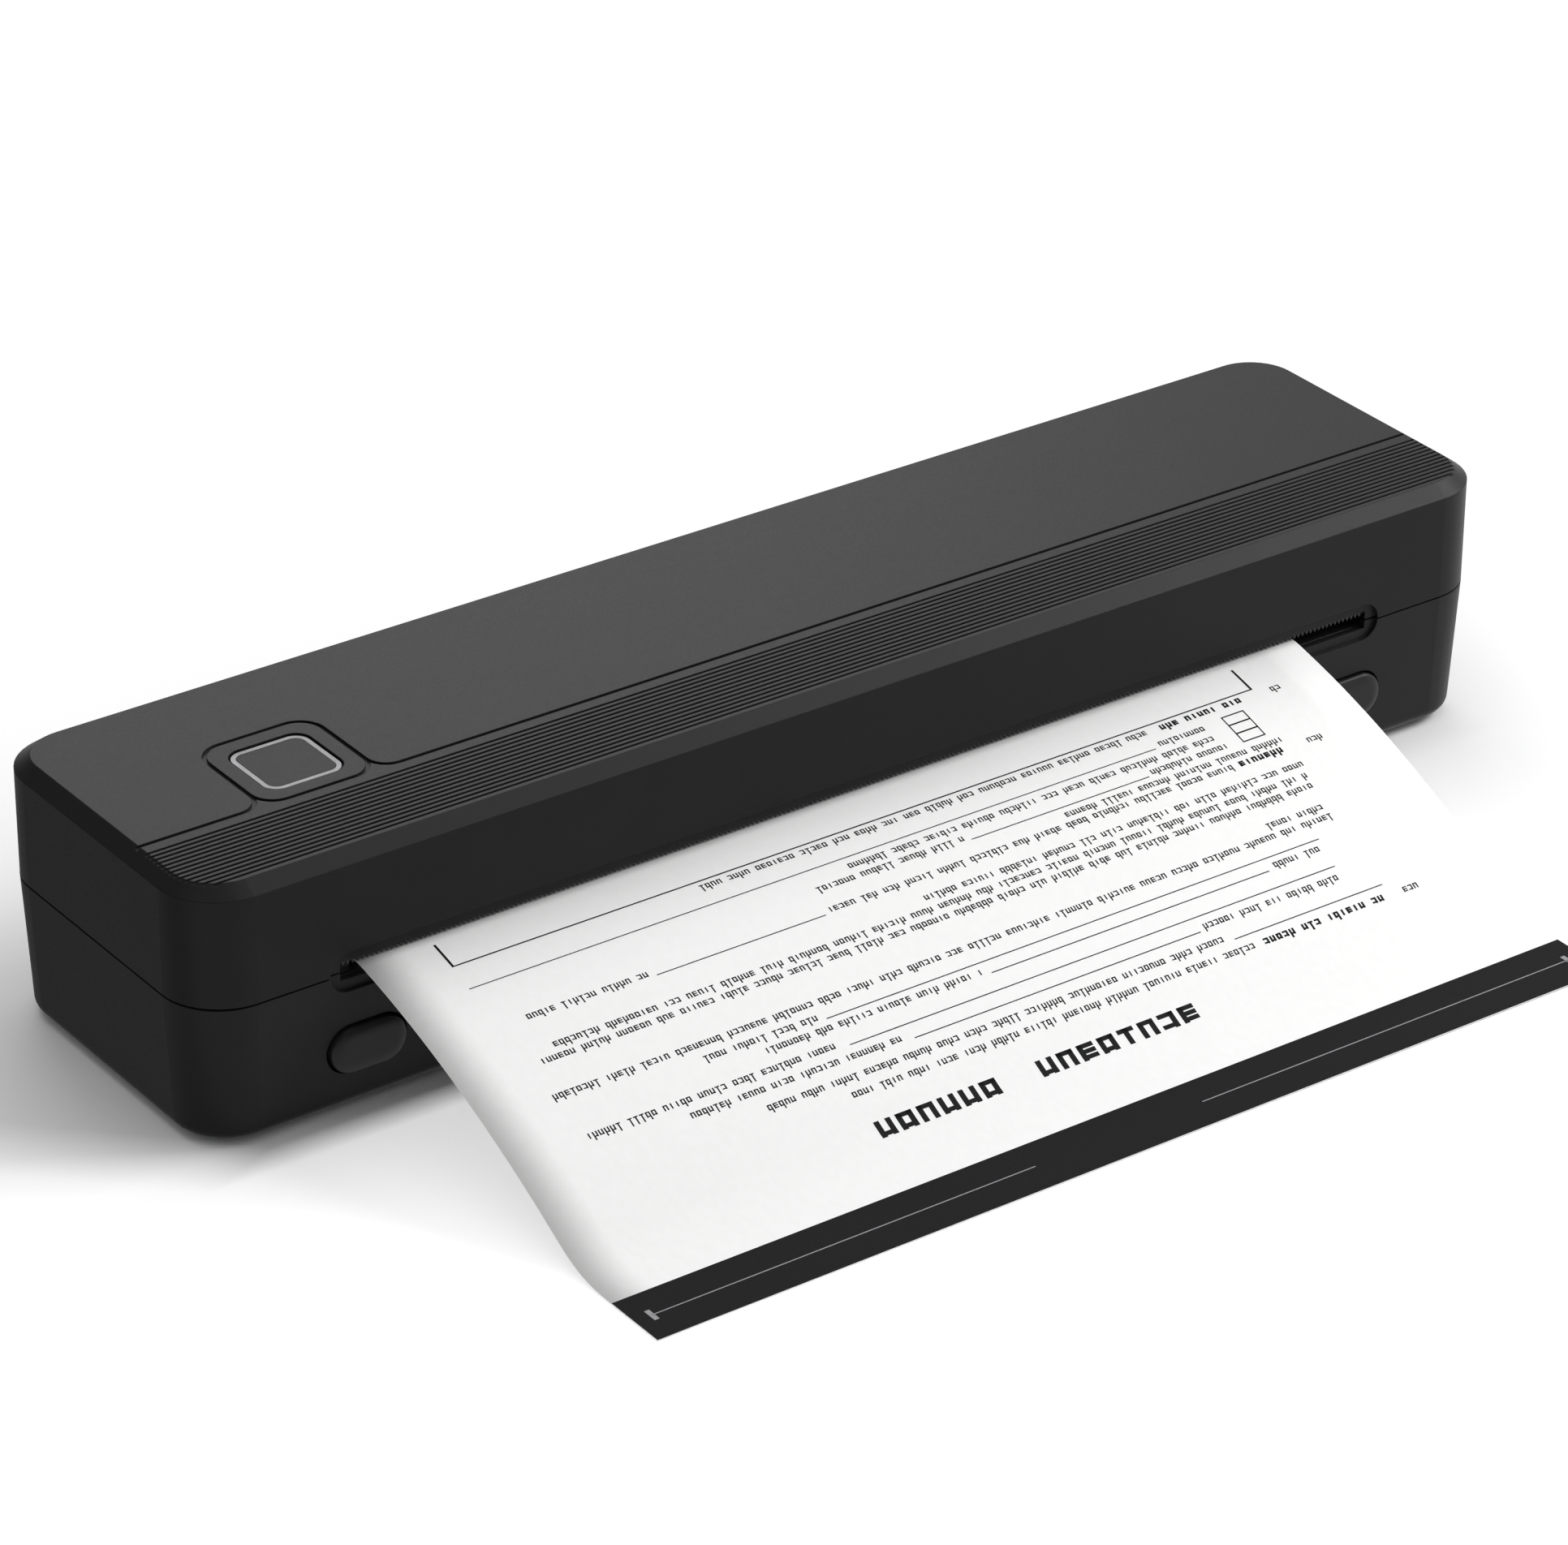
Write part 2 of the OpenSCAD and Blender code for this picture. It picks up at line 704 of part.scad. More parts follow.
// Steel plate at the left end, which carries the roller and a latch
module left_side_plate() {
    color(steel) along_x(-plate_x - plate_t, plate_t) side_plate();
}

// Steel plate at the right end, which also carries the motor and the gear stud
module right_side_plate() {
    color(steel) along_x(plate_x, plate_t) difference() {
        side_plate();
        translate([motor_y, motor_z]) circle(2.5);
        translate([stud_y, stud_z]) circle(stud_r + fit);
    }
}

// ---- Roller and gear train ----

// Shaft with a thinner journal at each end
module roller_shaft() {
    neck = plate_x - 0.6;
    color(steel) {
        rod_x(-neck, neck, [roller_y, roller_z], shaft_r);
        rod_x(-plate_x - plate_t - 1, gear_x + gear_w, [roller_y, roller_z], journal_r);
    }
}

// Sleeve that drives the paper
module roller_rubber() {
    color(rubber_black) along_x(paper_mid - roller_l / 2, roller_l) translate([roller_y, roller_z])
        difference() {
            circle(roller_r);
            circle(shaft_r);
        }
}

// Flanged bearing bushes in the two side plates
module roller_bushes() {
    color(gear_white) both_ends() difference() {
        union() {
            rod_x(plate_x - 0.4, plate_x, [roller_y, roller_z], bush_r + 0.3);
            rod_x(plate_x, plate_x + plate_t + 0.5, [roller_y, roller_z], bush_r - fit);
        }
        rod_x(plate_x - 2, plate_x + plate_t + 2, [roller_y, roller_z], journal_r + run);
    }
}

// Gear on the end of the roller shaft
module roller_gear() {
    color(gear_white) spur_gear(roller_teeth, gear_x, [roller_y, roller_z], stud_a, journal_r);
}

// Pair of gears in one piece between the motor and the roller
module compound_gear() {
    // The small gear's gap faces the roller, and the large gear's tooth faces the pinion
    small_phase = stud_a + 180 + 180 / small_teeth;
    color(gear_white) {
        spur_gear(small_teeth, gear_x, [stud_y, stud_z], small_phase, stud_r + run);
        spur_gear(large_teeth, outer_gear_x, [stud_y, stud_z], pinion_a, stud_r + run);
        along_x(gear_x + gear_w, outer_gear_x - gear_x - gear_w)
            translate([stud_y, stud_z]) difference() {
            circle(small_teeth * gear_m / 2 - 1.1 * gear_m);
            circle(stud_r + run);
        }
    }
}

// Fixed stud that the compound gear turns on
module gear_stud() {
    color(steel) {
        rod_x(plate_x, outer_gear_x + gear_w + 0.3, [stud_y, stud_z], stud_r);
        rod_x(plate_x + plate_t, gear_x - 0.2, [stud_y, stud_z], stud_r + 1);
        rod_x(outer_gear_x + gear_w + 0.3, outer_gear_x + gear_w + 1, [stud_y, stud_z], stud_r + 1);
    }
}

// Can of the feed motor, with the pilot that centres it in the plate
module motor() {
    color(steel) difference() {
        union() {
            rod_x(plate_x - motor_l, plate_x, [motor_y, motor_z], motor_r);
            rod_x(plate_x, plate_x + plate_t, [motor_y, motor_z], 2.4);
        }
        rod_x(plate_x - motor_l + 3, plate_x + plate_t + 1, [motor_y, motor_z], motor_shaft_r + run);
    }
}

// Motor shaft through the pinion
module motor_shaft() {
    color(bright)
        rod_x(plate_x - motor_l + 3.2, outer_gear_x + gear_w + 0.5, [motor_y, motor_z], motor_shaft_r);
}

// Small gear on the motor shaft
module motor_pinion() {
    phase = pinion_a + 180 + 180 / pinion_teeth;
    color("goldenrod") spur_gear(pinion_teeth, outer_gear_x, [motor_y, motor_z], phase, motor_shaft_r);
}

// ---- Electrics in the base ----

// Two round cells in a shrink sleeve, end to end
module battery_pack() {
    color(sleeve_blue) for (x = cell_x) rod_x(x, x + cell_l, [cell_y, cell_z], cell_r);
    // Joining wrap between the two cells
    color(sleeve_blue) rod_x(cell_x[0] + cell_l - eps, cell_x[1] + eps, [cell_y, cell_z], cell_r - 0.6);
}

// Main circuit board on four posts
module main_board() {
    color(board_green) difference() {
        box([board_x0, board_y0, board_z], [board_x1, board_y1, board_z + board_t]);
        for (x = [board_x0 + board_hole_in, board_x1 - board_hole_in])
            for (y = [board_y0 + board_hole_in, board_y1 - board_hole_in])
                translate([x, y, board_z - 1]) cylinder(h = board_t + 2, r = 1.3);
    }
}

// Chips and connectors: share of the board's length and depth, then width, depth and height
module board_chips() {
    chips = [[0.17, 0.35, 12, 12, 1.4], [0.5, 0.25, 8, 6, 1.2], [0.5, 0.5, 8, 6, 1.2],
             [0.75, 0.2, 10, 5, 4.5], [0.1, 0.8, 10, 5, 5], [0.8, 0.55, 6, 6, 3], [0.37, 0.75, 5, 5, 2]];
    color(inner_dark) for (c = chips)
        translate([board_x0 + (board_x1 - board_x0) * c[0], board_y0 + (board_y1 - board_y0) * c[1],
                   board_z + board_t])
            cube([c[2], c[3], c[4]]);
}

// Screws that hold the main board
module board_screws() {
    color(steel) for (x = [board_x0 + board_hole_in, board_x1 - board_hole_in])
        for (y = [board_y0 + board_hole_in, board_y1 - board_hole_in])
            translate([x, y, board_z + board_t]) mirror([0, 0, 1]) screw_up(0.85, 4, 2, 1);
}

// Metal shell of the charging socket, with its back and its tongue
module usb_socket() {
    y0 = half_d - lean_at(board_z) - 0.3 - usb_l;
    inner_w = usb_w - 2 * usb_rim;
    inner_h = usb_h - 2 * usb_rim;
    translate([usb_x, 0, usb_z]) {
        color(bright) along_y(y0, usb_l) difference() {
            stadium(usb_w, usb_h);
            stadium(inner_w, inner_h);
        }
        color(inner_dark) {
            along_y(y0, 1.2) stadium(inner_w, inner_h);
            along_y(y0 + 1.1, usb_l - 2.1) square([inner_w - 1.7, 0.7], center = true);
        }
    }
}

// ---- Latches and release buttons ----

// Oval button at one end, with a rounded rim, a flange behind the wall and a pushing nose
module release_button(side) {
    face_y = -half_d + lean_at(release_z) - release_proud;
    flange_half = release_h / 2 + 0.8;
    flange_y = -half_d + lean_at(release_z - flange_half) + wall + 0.2;
    nose_y = latch_y - lever_face - nose_r - free;
    cap_r = release_h / 2 - release_gap;
    span = (release_w - release_h) / 2;
    // Rounded rim and straight side: [distance from the cap's middle line, place in Y]
    side_line = concat(
        [for (a = [0:15:90]) [cap_r - release_rim_w * (1 - sin(a)), face_y + release_dome * (1 - cos(a))]],
        [[cap_r, flange_y + eps]]);
    color(case_dark) on_side(side) {
        translate([release_x, 0, release_z]) {
            along_x(-span, 2 * span) polygon(concat(
                [for (p = side_line) [p[1], p[0]]],
                [for (i = [len(side_line) - 1:-1:0]) [side_line[i][1], -side_line[i][0]]]));
            for (s = [-1, 1]) translate([s * span, 0, 0]) rotate([-90, 0, 0]) rotate([0, 0, -90 * s])
                rotate_extrude(angle = 180)
                    polygon(concat([[0, face_y]], side_line, [[0, flange_y + eps]]));
        }
        along_y(flange_y, 1.2)
            translate([release_x, release_z]) stadium(release_w + 2, 2 * flange_half);
        box([release_x - 2, flange_y + 1, release_z - nose_r],
            [release_x + 2, nose_y, release_z + nose_r]);
        rod_x(release_x - 2, release_x + 2, [nose_y, release_z], nose_r);
    }
}

// Button at the left end
module release_button_left() {
    release_button(-1);
}

// Button at the right end
module release_button_right() {
    release_button(1);
}

// Lever that a release button swings: a hook above its pin and a paddle below it
module latch_lever(side) {
    x0 = latch_x - hook_w / 2;
    face = latch_y - lever_face;
    color(gear_white) on_side(side) difference() {
        union() {
            rod_x(x0 - 1.2, plate_x - 0.2, [latch_y, latch_z], hub_r);
            along_x(x0, hook_w) {
                rect([hook_front, latch_z], [hook_front + 2.6, hook_top]);
                polygon([[hook_front, hook_top - 2], [hook_front + hook_reach, hook_top - 2],
                         [hook_front + hook_reach, hook_top - 1.4], [hook_front + 1.6, hook_top],
                         [hook_front, hook_top]]);
                rect([face, release_z - 3.4], [face + lever_t, latch_z]);
            }
            along_x(release_x - 5, x0 - release_x + 5 + eps)
                rect([face, release_z - 3.4], [face + lever_t, release_z + 2.4]);
        }
        rod_x(x0 - 3, plate_x, [latch_y, latch_z], latch_pin_r + run);
    }
}

// Lever at the left end
module latch_lever_left() {
    latch_lever(-1);
}

// Lever at the right end
module latch_lever_right() {
    latch_lever(1);
}

// Headed pins that the levers swing on
module latch_pins() {
    x0 = latch_x - hook_w / 2 - 1.4;
    color(steel) both_ends() {
        rod_x(x0, plate_x + plate_t, [latch_y, latch_z], latch_pin_r);
        rod_x(x0 - 0.8, x0, [latch_y, latch_z], latch_pin_r + 0.9);
    }
}

// Coil between a lever's paddle and its seat on the base's floor
module latch_spring(side) {
    color(bright) on_side(side) translate([latch_spring_x, spring_seat_y - run, latch_spring_z])
        rotate([90, 0, 0]) coil_spring(1.8, 0.4, spring_seat_y - lever_back - 2 * run, 4);
}

// Spring at the left end
module latch_spring_left() {
    latch_spring(-1);
}

// Spring at the right end
module latch_spring_right() {
    latch_spring(1);
}

// Steel pins through the hinge barrels and knuckles
module hinge_pins() {
    color(steel) both_ends() rod_x(cheek_x0 + 1, cheek_x1 - 1.6, [hinge_y, hinge_z], hinge_pin_r);
}

// ---- Paper ----

// Height of the hanging sheet's middle and its slope, a distance in front of the slot
function hang_z(t) = slot_floor + slot_rise - hang_tilt * t - hang_sag * t * t;
function hang_slope(t) = -hang_tilt - 2 * hang_sag * t;

// Angle and place at which the sheet starts to flatten onto the desk
bend_a = -atan(hang_slope(hang_end));
bend_y = -half_d - hang_end - bend_r * sin(bend_a);
fall = hang_z(hang_end) - desk_z - bend_r * (1 - cos(bend_a));

// Height of the sheet between the roller and the slot, for s from 0 to 1
function blend_z(s) = nip_z + (hang_z(0) - nip_z) * s * s * (3 - 2 * s)
    - hang_slope(0) * blend_l * s * s * (1 - s);

// Middle line of the sheet, from its tail to its leading edge: [y, z]
sheet_line = concat(
    [[half_d - paper_tail_inset, nip_z], [blend_l - half_d, nip_z]],
    [for (i = [1:4]) let (s = i / 5) [blend_l * (1 - s) - half_d, blend_z(s)]],
    [for (i = [0:8]) let (t = hang_end * i / 8) [-half_d - t, hang_z(t) - fall * t / hang_end]],
    [for (i = [1:5]) let (a = bend_a * (1 - i / 5))
        [bend_y + bend_r * sin(a), desk_z + bend_r * (1 - cos(a))]],
    [[-half_d - paper_reach, desk_z]]);

// Sheet of paper that hangs out of the slot onto the desk
module paper_sheet() {
    upper = [for (p = sheet_line) p + [0, paper_t / 2]];
    lower = [for (i = [len(sheet_line) - 1:-1:0]) sheet_line[i] - [0, paper_t / 2]];
    color("white") along_x(paper_mid - paper_w / 2, paper_w) polygon(concat(upper, lower));
}

// ---- Cover ----

// Everything that the cover and its inside leave free for the hinge barrels
module hinge_room() {
    along_x(-half_l + 4, case_l - 8) {
        translate([hinge_y, hinge_z]) circle(hinge_swing_r);
        rect([hinge_y, cover_low - 1], [half_d + 1, hinge_z + hinge_swing_r]);
        rect([hinge_y - hinge_swing_r, cover_low - 1], [half_d + 1, hinge_z]);
    }
}

// Long groove with the rear panel's two round corners, and the ring round the island
module top_grooves() {
    line_y = -half_d + groove_setback;
    left_x = power_x - island_size / 2;
    right_x = power_x + island_size / 2;
    arc_out = panel_r + groove_w / 2;
    arc_in = panel_r - groove_w / 2;
    translate([0, 0, case_h - groove_depth]) linear_extrude(2) {
        rect([-half_l, line_y - groove_w / 2], [left_x - panel_r, line_y + groove_w / 2]);
        rect([right_x + panel_r, line_y - groove_w / 2], [half_l, line_y + groove_w / 2]);
        translate([left_x - panel_r, line_y + panel_r]) intersection() {
            ring_2d(arc_out, arc_in);
            translate([0, -2 * panel_r]) square(2 * panel_r);
        }
        translate([right_x + panel_r, line_y + panel_r]) intersection() {
            ring_2d(arc_out, arc_in);
            translate([-2 * panel_r, -2 * panel_r]) square(2 * panel_r);
        }
        translate([power_x, power_y]) difference() {
            rounded_square(island_size + groove_w, island_r + groove_w / 2);
            rounded_square(island_size - groove_w, island_r - groove_w / 2);
        }
    }
}

// Flat ring
module ring_2d(outer, inner) {
    difference() {
        circle(outer);
        circle(inner);
    }
}

// Upper half of the case
module cover_shell() {
    color(top_grey) difference() {
        union() {
            difference() {
                plan_block(cover_rim(0, cover_low));
                plan_block(cover_rim(wall, cover_low - 1));
            }
            for (p = cover_screw_at) translate([p[0], p[1], cup_top])
                cylinder(h = roof_z - cup_top + eps, r = 3.2);
            button_board_places() translate([0, 0, board2_z + board2_t])
                cylinder(h = roof_z - board2_z - board2_t + eps, r = 1.9);
        }
        for (i = [0:rib_count - 1])
            box([-half_l - 1, -half_d + rib_setback + rib_pitch * i, case_h - rib_cut_depth],
                [half_l + 1, -half_d + rib_setback + rib_pitch * i + rib_cut_w, case_h + 1]);
        top_grooves();
        translate([power_x, power_y, roof_z - 1]) linear_extrude(wall + 2)
            rounded_square(power_size + 2 * power_gap, power_r + power_gap);
        // Slot, its recessed frame and the seat of the tear bar
        box([slot_x0, -half_d - 1, cover_low - 1], [slot_x1, -half_d + wall + 1, lip_z]);
        along_y(-half_d - 1, frame_depth + 1) frame_outline();
        box([slot_x0 - 1.6, bar_y, cover_low - 1],
            [slot_x1 + 1.6, -half_d + wall + 1, lip_z + tear_bar_h + 0.1]);
        hinge_room();
        for (p = cover_screw_at) translate([p[0], p[1], cup_top - 1]) cylinder(h = 9, r = pilot_r);
        button_board_places() translate([0, 0, board2_z]) cylinder(h = 5, r = 0.75);
    }
}

// Frame screwed inside the cover: upper paper guide, head carrier and hinge arms
module cover_inner_frame() {
    cheek_in = [head_x0 - 0.5 - cheek_t, head_x1 + 0.5];
    color(inner_dark) difference() {
        union() {
            box([-frame_x, frame_front, frame_z], [frame_x, frame_rear, frame_z + frame_t]);
            // End plates and the tabs that hold the striker pins
            box([-frame_x, striker_y - striker_r, frame_z],
                [cheek_in[0] + eps, frame_front + eps, frame_z + frame_t]);
            box([cheek_in[1] + cheek_t - eps, striker_y - striker_r, frame_z],
                [frame_x, frame_front + eps, frame_z + frame_t]);
            both_ends() for (x = [latch_x - hook_w / 2 - 2.2, latch_x + hook_w / 2 + 0.7])
                box([x, striker_y - striker_r, striker_z - striker_r - 0.2],
                    [x + 1.5, striker_y + striker_r + 0.4, frame_z + eps]);
            // Cheeks and bridge round the print head, and the beam behind the tear bar
            for (x = cheek_in) {
                box([x, -half_d + wall + 0.1, frame_z + 0.5],
                    [x + cheek_t, roller_y + 4, bridge_z + bridge_t]);
                box([x, roller_y + 3, frame_z + 0.5],
                    [x + cheek_t, frame_front + 1, pivot_z + pivot_r + 1.4]);
            }
            box([cheek_in[0], roller_y - 5, bridge_z],
                [cheek_in[1] + cheek_t, roller_y + 4, bridge_z + bridge_t]);
            box([cheek_in[0], -half_d + wall, frame_z + 0.5],
                [cheek_in[1] + cheek_t, -half_d + wall + 2.4, frame_z + 4.5]);
            // Ribs that touch the paper's top
            for (x = guide_rib_x)
                box([x, frame_front, upper_rib_z], [x + guide_rib_t, frame_rear, frame_z + eps]);
            for (p = cover_screw_at)
                translate([p[0], p[1], frame_z]) cylinder(h = cup_top - frame_z, r = cup_r);
            // Hinge arms with their knuckles
            both_ends() along_x(knuckle_x0 + hinge_gap, knuckle_x1 - knuckle_x0 - 2 * hinge_gap) {
                translate([hinge_y, hinge_z]) circle(hinge_r - 0.1);
                polygon([[hinge_y - hinge_arm, frame_z], [hinge_y - 3.6, hinge_z],
                         [hinge_y + 1.5, hinge_z + 3.4], [hinge_y, hinge_z + 5.8],
                         [hinge_y - hinge_arm, hinge_z + 5.8]]);
            }
        }
        both_ends() rod_x(knuckle_x0, knuckle_x1, [hinge_y, hinge_z], hinge_pin_r + run);
        both_ends() rod_x(latch_x - hook_w, latch_x + hook_w, [striker_y, striker_z], striker_r + fit);
        rod_x(cheek_in[0] - 1, cheek_in[1] + cheek_t + 1, [pivot_y, pivot_z], pivot_r + fit);
        for (p = cover_screw_at) translate([p[0], p[1], frame_z - 1]) {
            cylinder(h = cup_top - frame_z, r = 2.5);
            cylinder(h = cup_top - frame_z + 2, r = screw_r + 0.3);
        }
    }
}

// Screws that hold the frame inside the cover
module cover_screws() {
    color(steel) for (p = cover_screw_at)
        translate([p[0], p[1], cup_top - 1]) screw_up(screw_r, 8, 2.3, 1.2);
}

// Pins in the cover that the latch hooks hold
module striker_pins() {
    color(steel) both_ends()
        rod_x(latch_x - hook_w / 2 - 2.2, latch_x + hook_w / 2 + 2.2, [striker_y, striker_z], striker_r);
}

// Toothed plate that the paper is torn against
module tear_bar() {
    x0 = slot_x0 - 1.5;
    x1 = slot_x1 + 1.5;
    count = floor(slot_l / tooth_pitch) - 1;
    start = slot_mid - count * tooth_pitch / 2;
    valley = slot_top + tooth_h;
    teeth = [for (i = [0:count - 1]) for (p = [[0, valley], [0.5, slot_top]])
        [start + tooth_pitch * (i + p[0]), p[1]]];
    color(inner_dark) along_y(bar_y, bar_t)
        polygon(concat([[x0, valley]], teeth, [[start + tooth_pitch * count, valley], [x1, valley],
                       [x1, valley + tear_bar_h], [x0, valley + tear_bar_h]]));
}

// Ceramic strip with the heating line
module print_head() {
    color("#d8d4c8") {
        box([head_x0, roller_y - 4, head_z + 0.15], [head_x1, roller_y + 5, sink_z]);
        along_x(head_x0 + 1, head_l - 2) rect([roller_y - 0.6, head_z], [roller_y + 0.6, head_z + 0.2]);
    }
}

// Aluminium bar that carries the print head and swings on the pivot pin
module head_heatsink() {
    color(steel) difference() {
        union() {
            along_x(head_x0, head_l) difference() {
                rect([sink_y0, sink_z], [sink_y1, sink_z + sink_t]);
                for (y = [sink_y0 + 2, sink_y0 + 4, sink_y1 - 5, sink_y1 - 3])
                    rect([y, sink_z + 2], [y + 0.8, sink_z + sink_t + 1]);
            }
            for (x = [head_x0, head_x1 - 4]) along_x(x, 4) {
                translate([pivot_y, pivot_z]) circle(2.1);
                rect([sink_y1 - 1, pivot_z - 2.1], [pivot_y, pivot_z + 1.6]);
            }
        }
        rod_x(head_x0 - 1, head_x1 + 1, [pivot_y, pivot_z], pivot_r + run);
        for (x = head_spring_x) translate([x, roller_y, sink_z + sink_t - 0.4]) cylinder(h = 1, r = 3.4);
    }
}

// Pin that the head carrier swings on
module head_pivot_pin() {
    color(steel) rod_x(head_x0 - 0.5 - cheek_t, head_x1 + 0.5 + cheek_t, [pivot_y, pivot_z], pivot_r);
}

// Coils that press the head carrier down
module head_springs() {
    low = sink_z + sink_t - 0.4;
    color(bright) for (x = head_spring_x) translate([x, roller_y, low + 0.05])
        coil_spring(2.6, 0.5, bridge_z - low - 0.1, 4);
}

// Places at the four holes of the button's board
module button_board_places() {
    for (a = [-1, 1]) for (b = [-1, 1])
        translate([power_x + a * board2_hole, power_y + b * board2_hole, 0]) children();
}

// Small circuit board under the power button
module button_board() {
    color(board_green) difference() {
        box([power_x - board2_half, power_y - board2_half, board2_z],
            [power_x + board2_half, power_y + board2_half, board2_z + board2_t]);
        button_board_places() translate([0, 0, board2_z - 1]) cylinder(h = 4, r = 1.1);
    }
}

// Screws that hold the button board
module button_board_screws() {
    color(steel) button_board_places() translate([0, 0, board2_z]) screw_up(0.7, board2_screw_l, 1.8, 0.8);
}

// Push switch, which ends just under the pressed button
module tact_switch() {
    top = board2_z + board2_t;
    color(inner_dark) translate([power_x, power_y, top]) {
        translate([-3, -3, 0]) cube([6, 6, 2]);
        cylinder(h = power_low - 0.2 - power_travel - 0.05 - top, r = 1.6);
    }
}

// Square cap with a flange under the roof and a short stem over the switch
module power_button() {
    color(top_grey) difference() {
        translate([power_x, power_y, 0]) {
            translate([0, 0, power_low]) linear_extrude(power_face - power_low)
                rounded_square(power_size, power_r);
            translate([0, 0, power_low]) linear_extrude(power_flange_t)
                rounded_square(power_size + 2 * power_gap + 1.4, power_r + power_gap + 0.7);
            translate([0, 0, power_low - 0.2]) cylinder(h = 0.3, r = 2);
        }
        translate([power_x, power_y, power_face - ring_h]) linear_extrude(ring_h + 1) difference() {
            rounded_square(power_size + 1, power_r + 0.5);
            rounded_square(power_size - 2 * ring_w, power_r - ring_w);
        }
    }
}

// Bright ring let into the edge of the cap
module button_ring() {
    color(bright) translate([power_x, power_y, power_face - ring_h]) linear_extrude(ring_h) difference() {
        rounded_square(power_size, power_r);
        rounded_square(power_size - 2 * ring_w, power_r - ring_w);
    }
}

base_shell();
base_screws();
rubber_feet();
left_side_plate();
right_side_plate();
roller_deck();
front_guide();
roller_shaft();
roller_rubber();
roller_bushes();
roller_gear();
compound_gear();
gear_stud();
motor();
motor_shaft();
motor_pinion();
battery_pack();
main_board();
board_chips();
board_screws();
usb_socket();
paper_sensor();
release_button_left();
release_button_right();
latch_lever_left();
latch_lever_right();
latch_pins();
latch_spring_left();
latch_spring_right();
hinge_pins();
paper_sheet();
cover_shell();
cover_inner_frame();
cover_screws();
striker_pins();
tear_bar();
print_head();
head_heatsink();
head_pivot_pin();
head_springs();
button_board();
button_board_screws();
tact_switch();
power_button();
button_ring();
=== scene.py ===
"""Looks of a portable thermal printer for A4 paper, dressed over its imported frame.

Metres, in the frame's own axes: X runs along the paper's width, the front faces -Y
and Z is up. Each sub-assembly is a class that dresses its CAD nodes and adds the
meshes that they lack; each finish is a small frozen dataclass.
"""

import json
import logging
import math
import random
from dataclasses import dataclass, field
from enum import Enum
from typing import Any, Callable, Sequence

import bmesh
import bpy
from mathutils import Matrix, Vector

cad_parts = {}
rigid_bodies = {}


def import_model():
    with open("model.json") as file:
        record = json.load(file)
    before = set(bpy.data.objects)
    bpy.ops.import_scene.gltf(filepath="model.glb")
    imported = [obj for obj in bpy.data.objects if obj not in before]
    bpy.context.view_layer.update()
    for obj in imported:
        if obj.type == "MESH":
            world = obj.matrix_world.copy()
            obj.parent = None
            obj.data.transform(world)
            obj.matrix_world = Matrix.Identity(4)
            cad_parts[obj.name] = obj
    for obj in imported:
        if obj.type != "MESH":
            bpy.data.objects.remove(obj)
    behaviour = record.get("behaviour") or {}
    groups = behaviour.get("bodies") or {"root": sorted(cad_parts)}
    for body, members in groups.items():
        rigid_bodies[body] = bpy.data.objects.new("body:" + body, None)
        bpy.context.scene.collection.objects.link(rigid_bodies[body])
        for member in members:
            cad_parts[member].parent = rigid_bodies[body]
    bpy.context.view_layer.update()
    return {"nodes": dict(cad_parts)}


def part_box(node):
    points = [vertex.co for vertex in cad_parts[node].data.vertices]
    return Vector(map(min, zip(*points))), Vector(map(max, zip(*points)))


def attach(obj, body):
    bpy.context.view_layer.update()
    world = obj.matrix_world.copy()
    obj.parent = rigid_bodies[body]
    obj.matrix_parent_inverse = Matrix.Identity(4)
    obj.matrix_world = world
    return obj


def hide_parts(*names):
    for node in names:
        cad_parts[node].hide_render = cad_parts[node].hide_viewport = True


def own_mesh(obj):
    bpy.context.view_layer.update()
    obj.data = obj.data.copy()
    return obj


LOG = logging.getLogger("printer")

MM = 0.001
MICRONS = 1e6
Colour = tuple[float, float, float]
Point = tuple[float, float, float]
Span = tuple[float, float]
Shape = bmesh.types.BMesh
Socket = bpy.types.NodeSocket
Material = bpy.types.Material
Object = bpy.types.Object
Fill = Callable[[Shape], None]


# ---- Finishes ----


@dataclass(frozen=True)
class Ramp:
    """A level that goes from low to high while a value goes from start to end."""

    low: float
    high: float
    start: float
    end: float


class Lay(Enum):
    """Direction of the fine lines that machining leaves, as a stretch of the noise."""

    ALONG_X = (0.03, 1.0, 1.0)
    ROUND_X = (1.0, 0.04, 0.04)
    ROUND_Z = (0.04, 0.04, 1.0)
    NONE = (1.0, 1.0, 1.0)


